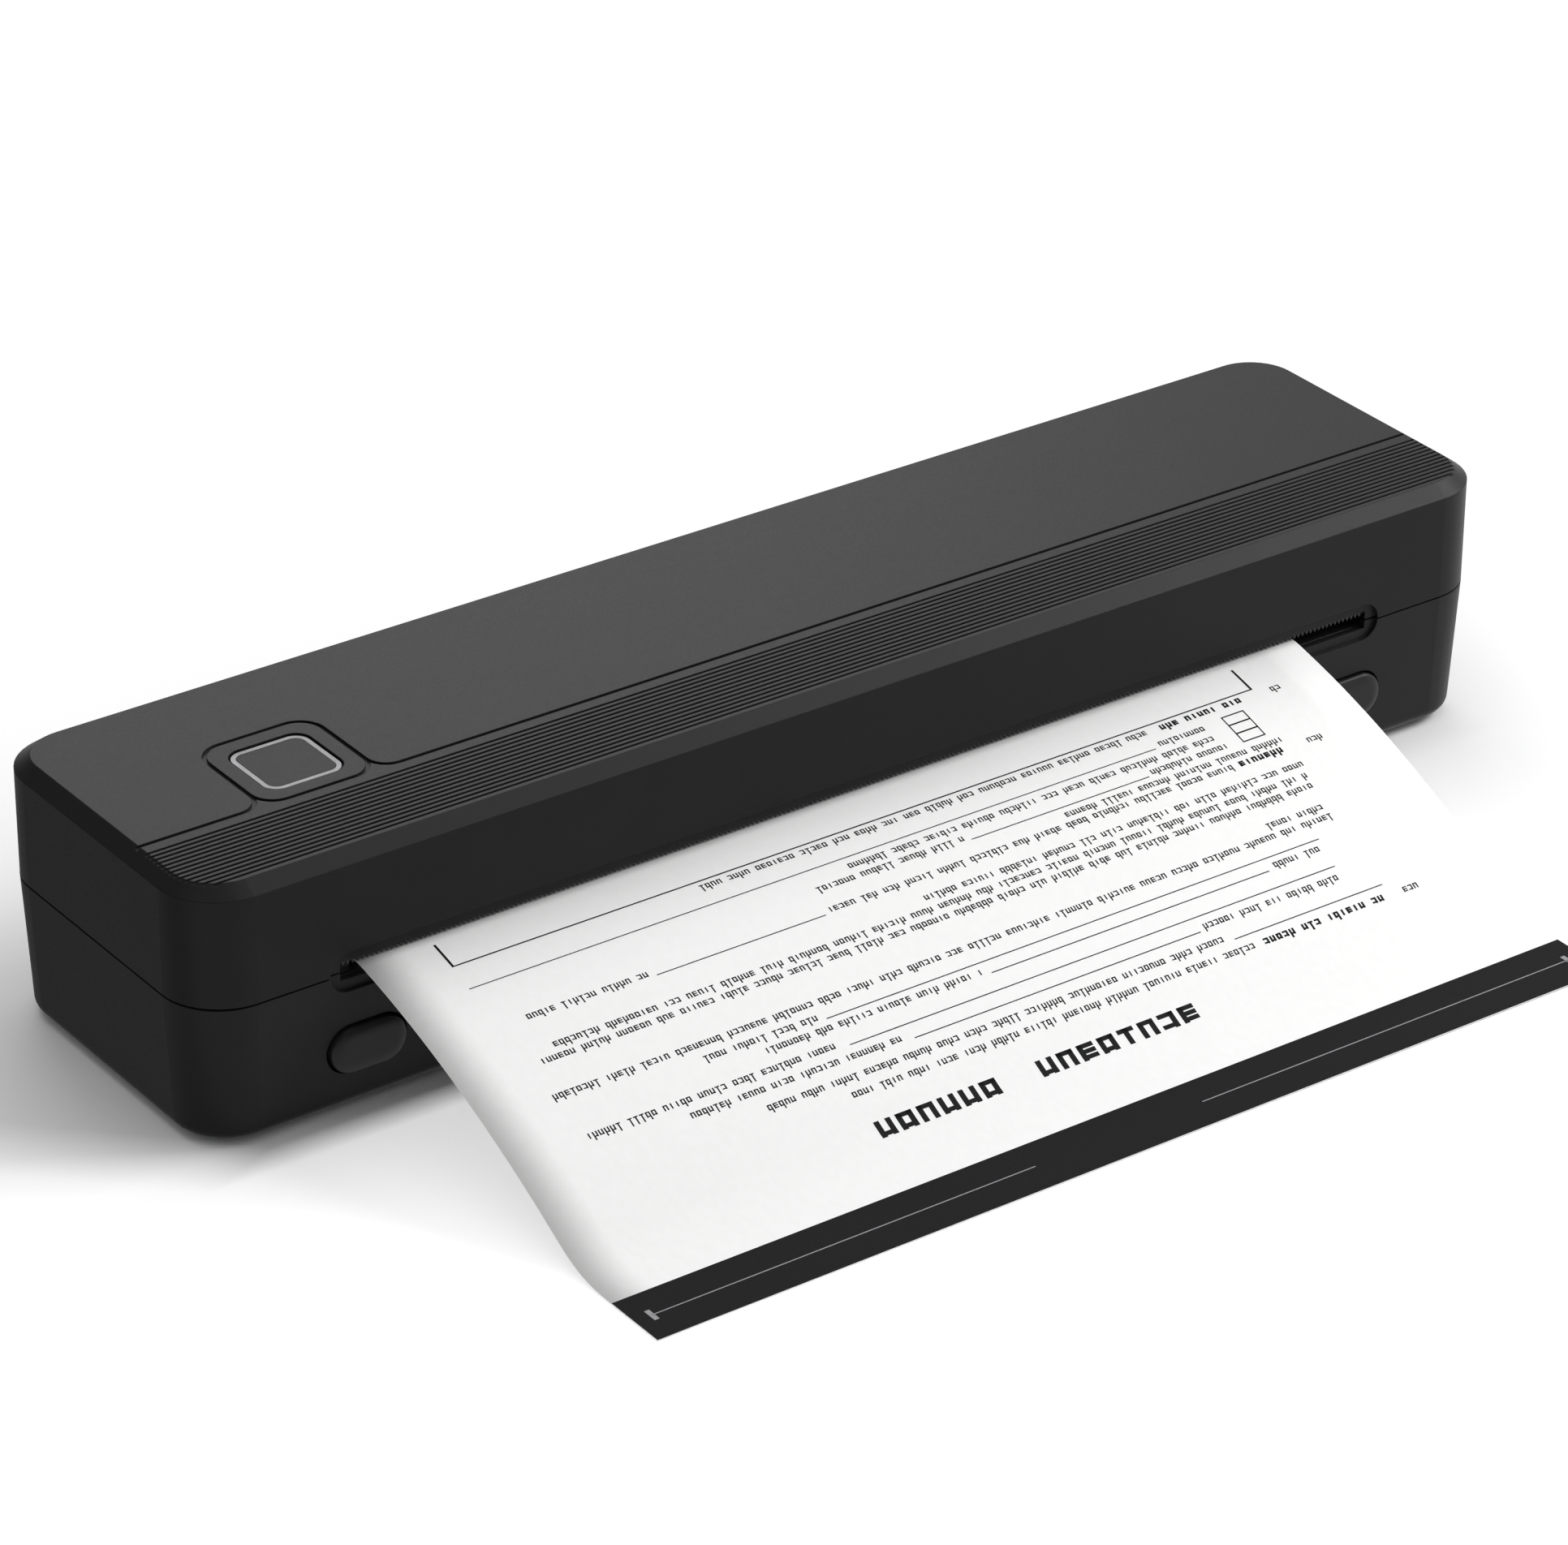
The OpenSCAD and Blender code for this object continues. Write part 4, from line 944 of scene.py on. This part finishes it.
# Rows of print from the slot towards the lead: middle of the row in front of the case,
# then its marks, in millimetres. The page leaves the slot head first, so it lies
# upside down.
PRINT_ROWS: tuple[tuple[float, tuple[Mark, ...]], ...] = (
    (7.9, (Mark(WORDS, 65.7, 168.0), Mark(BOLD, 170.0, 192.0), Mark(WORDS, 196.5, 199.5))),
    (11.5, (Mark(RULE, 14.0, 165.7), Mark(WORDS, 167.0, 179.6))),
    (14.4, (Mark(WORDS, 93.8, 179.9),)),
    (17.1, (Mark(WORDS, 85.0, 118.0), Mark(RULE, 119.0, 160.0), Mark(WORDS, 161.0, 180.3))),
    (19.8, (Mark(WORDS, 139.1, 191.2),)),
    (
        22.1,
        (
            Mark(WORDS, 19.7, 45.5),
            Mark(RULE, 46.5, 83.0),
            Mark(WORDS, 84.1, 177.0),
            Mark(BOLD, 178.2, 191.1),
            Mark(WORDS, 194.5, 198.5),
        ),
    ),
    (26.6, (Mark(WORDS, 102.3, 191.2),)),
    (29.3, (Mark(WORDS, 20.7, 190.0),)),
    (31.8, (Mark(WORDS, 16.5, 190.5),)),
    (36.9, (Mark(WORDS, 173.7, 188.5),)),
    (39.3, (Mark(WORDS, 14.4, 188.5),)),
    (42.3, (Mark(WORDS, 44.0, 68.5), Mark(RULE, 69.7, 181.6))),
    (45.0, (Mark(WORDS, 55.3, 103.0), Mark(RULE, 104.2, 167.9), Mark(WORDS, 169.5, 181.5))),
    (48.7, (Mark(WORDS, 15.6, 69.0), Mark(RULE, 70.6, 180.8))),
    (51.8, (Mark(WORDS, 35.3, 81.5), Mark(RULE, 82.7, 147.1), Mark(WORDS, 148.3, 180.8))),
    (55.5, (Mark(WORDS, 49.2, 150.5), Mark(RULE, 152.4, 187.2))),
    (58.8, (Mark(WORDS, 65.2, 156.0), Mark(BOLD, 157.5, 186.4), Mark(WORDS, 190.5, 194.5))),
    (66.7, (Mark(TITLE, 65.7, 96.0), Mark(TITLE, 101.0, 140.6))),
)


@dataclass
class PrintedSheet(Assembly):
    """Sheet of thermal paper with plain rules, bars and rows of strokes."""

    step: float = 1.2 * MM
    columns: int = 24
    spline_cuts: int = 8
    ink_gap: float = 0.012 * MM
    word_letters: tuple[int, int] = (3, 10)
    rule_mm: Span = (0.7, 0.92)
    frame_across: Span = (14.2 * MM, 193.3 * MM)
    frame_down: Span = (0.2 * MM, 6.5 * MM)
    frame_pen: float = 0.5 * MM
    frame_foot: float = 0.3 * MM
    boxes: int = 3
    box_across: Span = (182.5 * MM, 187.9 * MM)
    box_start: float = 10.4 * MM
    box_pitch: float = 2.35 * MM
    box_height: float = 2.3 * MM
    box_pen: float = 0.3 * MM
    band_width: float = 13.5 * MM
    band_inset: float = 3 * MM
    band_gap: Span = (84 * MM, 121 * MM)
    band_pen: float = 0.25 * MM
    band_tick: Span = (1 * MM, 3.2 * MM)
    paper: Finish = CoatedPaper("thermal_paper")
    tone: Finish = PrintTone("heat_print")
    pale: Finish = PrintTone("band_line", (0.32, 0.32, 0.33))
    seed: int = 11
    line: list[Vector] = field(default_factory=list)
    lengths: list[float] = field(default_factory=list)
    low: Vector = field(default_factory=Vector)
    high: Vector = field(default_factory=Vector)
    front: float = 0.0
    thickness: float = 0.0

    def build(self) -> None:
        """Builds the sheet over its CAD solid, and the print on it."""
        self.low, self.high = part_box("paper_sheet")
        self.trace()
        sheet = mesh_object("printed_sheet", self.fill_sheet)
        self.mount(sheet, self.paper.material(), "paper", "thermal_paper")
        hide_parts("paper_sheet")
        marks = mesh_object("sheet_print", self.fill_print, smooth=False)
        self.mount(marks, self.tone.material(), "paper", "thermal_paper")
        band_line = mesh_object("sheet_band_line", self.fill_band_line, smooth=False)
        self.mount(band_line, self.pale.material(), "paper", "thermal_paper")

    def trace(self) -> None:
        """Reads the sheet's middle line off its CAD solid, evenly spaced from tail to lead."""
        sides: dict[int, list[float]] = {}
        for vertex in self.nodes["paper_sheet"].data.vertices:
            sides.setdefault(round(vertex.co.y * MICRONS), []).append(vertex.co.z)
        points = [
            Vector((0.0, y / MICRONS, (min(heights) + max(heights)) / 2))
            for y, heights in sorted(sides.items(), reverse=True)
        ]
        tail = sides[max(sides)]
        self.thickness = max(tail) - min(tail)
        fine: list[Vector] = []
        for i in range(len(points) - 1):
            before = points[max(i - 1, 0)]
            after = points[min(i + 2, len(points) - 1)]
            for k in range(self.spline_cuts):
                share = k / self.spline_cuts
                fine.append(spline_point(before, points[i], points[i + 1], after, share))
        fine.append(points[-1])
        walked = [0.0]
        for near, far in zip(fine, fine[1:]):
            walked.append(walked[-1] + (far - near).length)
        count = round(walked[-1] / self.step)
        self.lengths = [walked[-1] * i / count for i in range(count + 1)]
        at = 0
        for length in self.lengths:
            while at < len(walked) - 2 and walked[at + 1] < length:
                at += 1
            share = (length - walked[at]) / (walked[at + 1] - walked[at])
            self.line.append(fine[at].lerp(fine[at + 1], min(1.0, share)))
        front_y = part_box("base_shell")[0].y
        nearest = min(range(len(self.line)), key=lambda i: abs(self.line[i].y - front_y))
        self.front = self.lengths[nearest]

    def point(self, x: float, length: float, lift: float) -> Vector:
        """Finds a place over the sheet.

        Args:
            x: Place along X.
            length: Distance along the sheet from its tail.
            lift: Distance above its middle line, square to it.

        Returns:
            The point.
        """
        share = max(0.0, min(1.0, length / self.lengths[-1])) * (len(self.line) - 1)
        i = min(int(share), len(self.line) - 2)
        near, far = self.line[i], self.line[i + 1]
        along = (far - near).normalized()
        up = Vector((0.0, -along.z, along.y))
        if up.z < 0:
            up.negate()
        spot = near.lerp(far, share - i) + up * lift
        return Vector((x, spot.y, spot.z))

    def skin(
        self, shape: Shape, across: Sequence[float], lengths: Sequence[float], lift: float
    ) -> list[list[bmesh.types.BMVert]]:
        """Adds a layer of faces that follows the sheet.

        Args:
            shape: Mesh to add to.
            across: Places along X.
            lengths: Distances along the sheet from its tail.
            lift: Distance above its middle line.

        Returns:
            The layer's vertices, row by row.
        """
        rows = [[shape.verts.new(self.point(x, at, lift)) for x in across] for at in lengths]
        for near, far in zip(rows, rows[1:]):
            for c in range(len(across) - 1):
                shape.faces.new((near[c], near[c + 1], far[c + 1], far[c]))
        return rows

    def fill_sheet(self, shape: Shape) -> None:
        """Adds the sheet as a closed thin solid.

        Args:
            shape: Mesh to add to.
        """
        width = self.high.x - self.low.x
        across = [self.low.x + width * c / self.columns for c in range(self.columns + 1)]
        upper = self.skin(shape, across, self.lengths, self.thickness / 2)
        lower = self.skin(shape, across, self.lengths, -self.thickness / 2)
        rows = len(self.lengths) - 1
        for r in range(rows):
            for c in (0, self.columns):
                shape.faces.new((upper[r][c], upper[r + 1][c], lower[r + 1][c], lower[r][c]))
        for c in range(self.columns):
            for r in (0, rows):
                shape.faces.new((upper[r][c], upper[r][c + 1], lower[r][c + 1], lower[r][c]))

    def patch(self, shape: Shape, across: Span, down: Span, layer: int = 1) -> None:
        """Adds a printed rectangle that follows the sheet.

        Args:
            shape: Mesh to add to.
            across: From and to, in metres from the sheet's left edge.
            down: From and to, in metres in front of the case.
            layer: 1 for print on the paper and 2 for print over print.
        """
        start = self.front + down[0]
        end = min(self.front + down[1], self.lengths[-1])
        cuts = max(1, math.ceil((end - start) / self.step))
        lengths = [start + (end - start) * i / cuts for i in range(cuts + 1)]
        lift = self.thickness / 2 + self.ink_gap * layer
        self.skin(shape, [self.low.x + x for x in across], lengths, lift)

    def fill_print(self, shape: Shape) -> None:
        """Adds every mark: the rows, the frame by the slot, the boxes and the band.

        Args:
            shape: Mesh to add to.
        """
        draw = random.Random(self.seed)
        for centre, marks in PRINT_ROWS:
            for mark in marks:
                self.fill_mark(shape, mark, centre, draw)
        left, right = self.frame_across
        for x in (left, right - self.frame_pen):
            self.patch(shape, (x, x + self.frame_pen), self.frame_down)
        foot = self.frame_down[1]
        self.patch(shape, self.frame_across, (foot - self.frame_foot, foot))
        left, right = self.box_across
        for i in range(self.boxes):
            near = self.box_start + self.box_pitch * i
            far = near + self.box_height
            for x in (left, right - self.box_pen):
                self.patch(shape, (x, x + self.box_pen), (near, far))
            for y in (near, far):
                self.patch(shape, self.box_across, (y, y + self.box_pen))
        end = self.lengths[-1] - self.front
        self.patch(shape, (0.0, self.high.x - self.low.x), (end - self.band_width, end))

    def fill_mark(self, shape: Shape, mark: Mark, centre: float, draw: random.Random) -> None:
        """Adds one stretch of a row.

        Args:
            shape: Mesh to add to.
            mark: What to print.
            centre: Middle of the row in front of the case, in millimetres.
            draw: Source of the strokes' variation.
        """
        if mark.ink is RULE:
            top, foot = ((centre + edge) * MM for edge in self.rule_mm)
            self.patch(shape, (mark.start * MM, mark.end * MM), (top, foot))
            return
        size = TYPE_SIZES[mark.ink]
        x = mark.start
        letters = 0
        while x + size.pitch < mark.end:
            letters += 1
            if letters > draw.randint(*self.word_letters) and mark.ink is not TITLE:
                letters = 0
            else:
                self.fill_letter(shape, x, centre, size, draw.choice(LETTER_FORMS))
            x += size.pitch

    def fill_letter(
        self, shape: Shape, x: float, centre: float, size: TypeSize, form: LetterForm
    ) -> None:
        """Adds the strokes of one made-up letter, whose top faces the sheet's lead.

        Args:
            shape: Mesh to add to.
            x: Start of the letter across the sheet, in millimetres.
            centre: Middle of its row in front of the case, in millimetres.
            size: Size of its row's letters.
            form: Which strokes it has.
        """
        width = size.pitch * size.width_share
        foot = centre - size.height / 2
        for share, is_tall in form.uprights:
            u = x + (width - size.pen) * share
            top = foot + size.height + (size.tall if is_tall else 0.0)
            self.patch(shape, (u * MM, (u + size.pen) * MM), (foot * MM, top * MM))
        for share in form.bars:
            near = foot + (size.height - size.pen) * share
            far = near + size.pen * size.bar_share
            self.patch(shape, (x * MM, (x + width) * MM), (near * MM, far * MM))

    def fill_band_line(self, shape: Shape) -> None:
        """Adds the thin line along the band, with end ticks and a gap in the middle.

        Args:
            shape: Mesh to add to.
        """
        end = self.lengths[-1] - self.front
        middle = end - self.band_width / 2
        right = self.high.x - self.low.x - self.band_inset
        half = self.band_pen / 2
        for line in ((self.band_inset, self.band_gap[0]), (self.band_gap[1], right)):
            self.patch(shape, line, (middle - half, middle + half), layer=2)
        width, height = self.band_tick
        for x in (self.band_inset, right - width):
            self.patch(shape, (x, x + width), (middle - height / 2, middle + height / 2), layer=2)


# ---- Studio ----


@dataclass(frozen=True)
class Softbox:
    """A rectangular lamp: where it hangs, its width and height, and its power in watts."""

    name: str
    place: Point
    size: Span
    power: float


@dataclass
class Studio:
    """Camera at the photograph's angle, pale floor and soft lamps.

    The ramps from far to right give painted light that the floor adds for the eye: none
    at the foot of the case, where its shadow lies, and more in front of it, past its
    corners (until fade), behind it and far away; left and right scale that along X. So
    the shade by the case is painted deeper than the rest of the floor. The front, side
    and sky ramps give painted reflections: how bright the floor and the sky look in a
    reflection, set by place and not by the lamps.
    """

    target: Point = (-0.001938, -0.006845, 0.020)
    azimuth: float = -35.8031
    elevation: float = 28.7254
    roll: float = 0.3553
    distance: float = 1.206294
    focal_px: float = 8011.66
    picture_px: float = 1932.0
    sensor_mm: float = 36.0
    floor_size: float = 8.0
    clip: Span = (0.05, 50.0)
    floor_white: float = 0.9
    # Painted light: white that the floor adds for the eye, set by place and left out by the case so
    # its shade shows deeper.
    far_painted_light: Ramp = Ramp(0.0, 0.9, 0.45, 1.3)
    front_painted_light: Ramp = Ramp(1.0, 0.0, -0.043, -0.036)
    corner_painted_light: Ramp = Ramp(0.0, 1.0, 0.168, 0.192)
    fade_painted_light: Ramp = Ramp(1.0, 0.0, -0.02, 0.06)
    rear_painted_light: Ramp = Ramp(0.0, 1.0, 0.05, 0.4)
    left_painted_light: Ramp = Ramp(0.3, 0.55, -0.16, -0.1)
    right_painted_light: Ramp = Ramp(0.55, 0.04, -0.1, 0.14)
    # Painted reflections: how bright the floor looks in gloss, set by place.
    front_painted_reflection: Ramp = Ramp(0.92, 0.0, -0.041, -0.033)
    side_painted_reflection: Ramp = Ramp(0.32, 1.0, -0.12, 0.02)
    sky: float = 0.38
    # Painted reflection: the sky in gloss, dark on its left and bright on its right.
    sky_painted_reflection: Ramp = Ramp(0.08, 1.0, -0.2, 0.5)
    lamps: tuple[Softbox, ...] = (
        Softbox("overhead_softbox", (0.05, 0.30, 1.30), (1.4, 1.0), 5.6),
        Softbox("back_softbox", (0.42, 1.05, 0.66), (0.8, 0.6), 2.5),
        Softbox("front_softbox", (0.95, -0.36, 0.80), (0.6, 0.6), 10.5),
    )

    def build(self) -> None:
        """Sets up the camera, the floor, the lamps and the world."""
        self.camera()
        self.floor()
        self.world()
        for softbox in self.lamps:
            self.lamp(softbox)
        bpy.context.scene.view_settings.view_transform = "Standard"

    def camera(self) -> None:
        """Places the camera as it was fitted to the photograph."""
        a, e, r = (math.radians(x) for x in (self.azimuth, self.elevation, self.roll))
        back = Vector((math.sin(a) * math.cos(e), -math.cos(a) * math.cos(e), math.sin(e)))
        level = (-back).cross(Vector((0.0, 0.0, 1.0))).normalized()
        upright = level.cross(-back)
        right = level * math.cos(r) + upright * math.sin(r)
        up = upright * math.cos(r) - level * math.sin(r)
        data = bpy.data.cameras.new("camera")
        data.sensor_width = self.sensor_mm
        data.lens = self.focal_px / self.picture_px * self.sensor_mm
        data.clip_start, data.clip_end = self.clip
        camera = bpy.data.objects.new("camera", data)
        bpy.context.scene.collection.objects.link(camera)
        turn = Matrix((right, up, back)).transposed().to_4x4()
        camera.matrix_world = Matrix.Translation(Vector(self.target) + back * self.distance) @ turn
        bpy.context.scene.camera = camera

    def floor(self) -> None:
        """Lays the pale floor, which keeps the printer's shadow, with painted light for the eye and
        painted reflections, both set by place.
        """
        graph = ShaderGraph("floor")
        graph.nodes.remove(graph.shader)
        diffuse = graph.add("ShaderNodeBsdfDiffuse")
        diffuse.inputs["Color"].default_value = (self.floor_white,) * 3 + (1.0,)
        rays = graph.add("ShaderNodeLightPath")
        place = graph.add("ShaderNodeNewGeometry").outputs["Position"]
        axes = graph.add("ShaderNodeSeparateXYZ")
        graph.wire(place, axes.inputs["Vector"])
        x, y = axes.outputs["X"], axes.outputs["Y"]
        # Painted light: the floor glows to the eye by place, less by the case, which paints its
        # shade there deeper.
        seen = graph.math("MULTIPLY", rays.outputs["Is Camera Ray"], self.painted_floor_light(graph, place, x, y))
        painted_floor_light = graph.add("ShaderNodeEmission")
        graph.wire(seen, painted_floor_light.inputs["Strength"])
        lit_plus_painted_light = graph.add("ShaderNodeAddShader")
        graph.wire(diffuse.outputs[0], lit_plus_painted_light.inputs[0])
        graph.wire(painted_floor_light.outputs[0], lit_plus_painted_light.inputs[1])
        # Painted reflection: in gloss and glass the floor shows only an emission set by place, not
        # the lamps' light on it.
        painted_floor_reflection = graph.add("ShaderNodeEmission")
        gloss = (graph.ramp(y, self.front_painted_reflection), graph.ramp(x, self.side_painted_reflection))
        graph.wire(graph.math("MAXIMUM", *gloss), painted_floor_reflection.inputs["Strength"])
        either = graph.add("ShaderNodeMixShader")
        graph.wire(graph.reflected(rays), either.inputs["Fac"])
        graph.wire(lit_plus_painted_light.outputs[0], either.inputs[1])
        graph.wire(painted_floor_reflection.outputs[0], either.inputs[2])
        graph.wire(either.outputs[0], graph.nodes["Material Output"].inputs["Surface"])

        floor = mesh_object("floor", self.fill_floor, smooth=False)
        floor.data.materials.append(graph.material)

    def fill_floor(self, shape: Shape) -> None:
        """Adds the floor's one face.

        Args:
            shape: Mesh to add to.
        """
        half = self.floor_size / 2
        ends = ((-half, -half), (half, -half), (half, half), (-half, half))
        shape.faces.new([shape.verts.new((x, y, 0.0)) for x, y in ends])

    def painted_floor_light(self, graph: ShaderGraph, place: Socket, x: Socket, y: Socket) -> Socket:
        """Works out the painted light that the floor adds for the eye, less where the shadow lies,
        which paints that shade deeper.

        Args:
            graph: The floor's nodes.
            place: Place on the floor.
            x: That place's X.
            y: That place's Y.

        Returns:
            The strength's socket.
        """
        reach = graph.add("ShaderNodeVectorMath", operation="LENGTH")
        graph.wire(place, reach.inputs[0])
        beside = graph.math("SUBTRACT", graph.math("ABSOLUTE", x), y)
        corner = graph.math(
            "MULTIPLY", graph.ramp(beside, self.corner_painted_light), graph.ramp(y, self.fade_painted_light)
        )
        away = graph.math("MAXIMUM", graph.ramp(y, self.front_painted_light), corner)
        away = graph.math("MAXIMUM", away, graph.ramp(y, self.rear_painted_light))
        across = graph.math(
            "MINIMUM", graph.ramp(x, self.left_painted_light), graph.ramp(x, self.right_painted_light)
        )
        far = graph.ramp(reach.outputs["Value"], self.far_painted_light)
        return graph.math("ADD", graph.math("MULTIPLY", across, away), far)

    def world(self) -> None:
        """Fills the world: white to the eye, and a painted reflection in what gloss reflects, paler
        on its right.
        """
        world = bpy.data.worlds.new("world")
        graph = ShaderGraph("world", world)
        background = graph.nodes["Background"]
        background.inputs["Color"].default_value = (1.0, 1.0, 1.0, 1.0)
        axes = graph.add("ShaderNodeSeparateXYZ")
        graph.wire(graph.add("ShaderNodeTexCoord").outputs["Generated"], axes.inputs["Vector"])
        # Painted reflection: what gloss sees of the sky ramps from dark on the left to bright on
        # the right.
        side = graph.ramp(axes.outputs["X"], self.sky_painted_reflection)
        rays = graph.add("ShaderNodeLightPath")
        shift = graph.math("SUBTRACT", side, self.sky)
        painted_reflection_extra = graph.math("MULTIPLY", graph.reflected(rays), shift)
        white = graph.math("MULTIPLY", rays.outputs["Is Camera Ray"], 1.0 - self.sky)
        total = graph.math("ADD", graph.math("ADD", white, painted_reflection_extra), self.sky)
        graph.wire(total, background.inputs["Strength"])
        bpy.context.scene.world = world

    def lamp(self, softbox: Softbox) -> None:
        """Hangs a lamp that faces the printer.

        Args:
            softbox: What to hang, and where.
        """
        data = bpy.data.lights.new(softbox.name, "AREA")
        data.shape = "RECTANGLE"
        data.size, data.size_y = softbox.size
        data.energy = softbox.power
        lamp = bpy.data.objects.new(softbox.name, data)
        bpy.context.scene.collection.objects.link(lamp)
        lamp.location = softbox.place
        lamp.rotation_mode = "QUATERNION"
        aim = Vector(self.target) - Vector(softbox.place)
        lamp.rotation_quaternion = aim.to_track_quat("-Z", "Y")


def clear_scene() -> None:
    """Removes what a new Blender file holds."""
    for item in list(bpy.data.objects):
        bpy.data.objects.remove(item)


ASSEMBLIES = (
    CaseShells,
    TopControls,
    TearEdge,
    FeedDrive,
    Electrics,
    Fasteners,
    HeadCarrier,
    PrintedSheet,
)


def main() -> None:
    """Loads the frame, builds every sub-assembly and sets up the studio."""
    logging.basicConfig(level=logging.INFO, format="%(message)s")
    clear_scene()
    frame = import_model()
    nodes = frame["nodes"]
    for assembly in ASSEMBLIES:
        assembly(nodes).build()
    Studio().build()


if __name__ == "__main__":
    main()
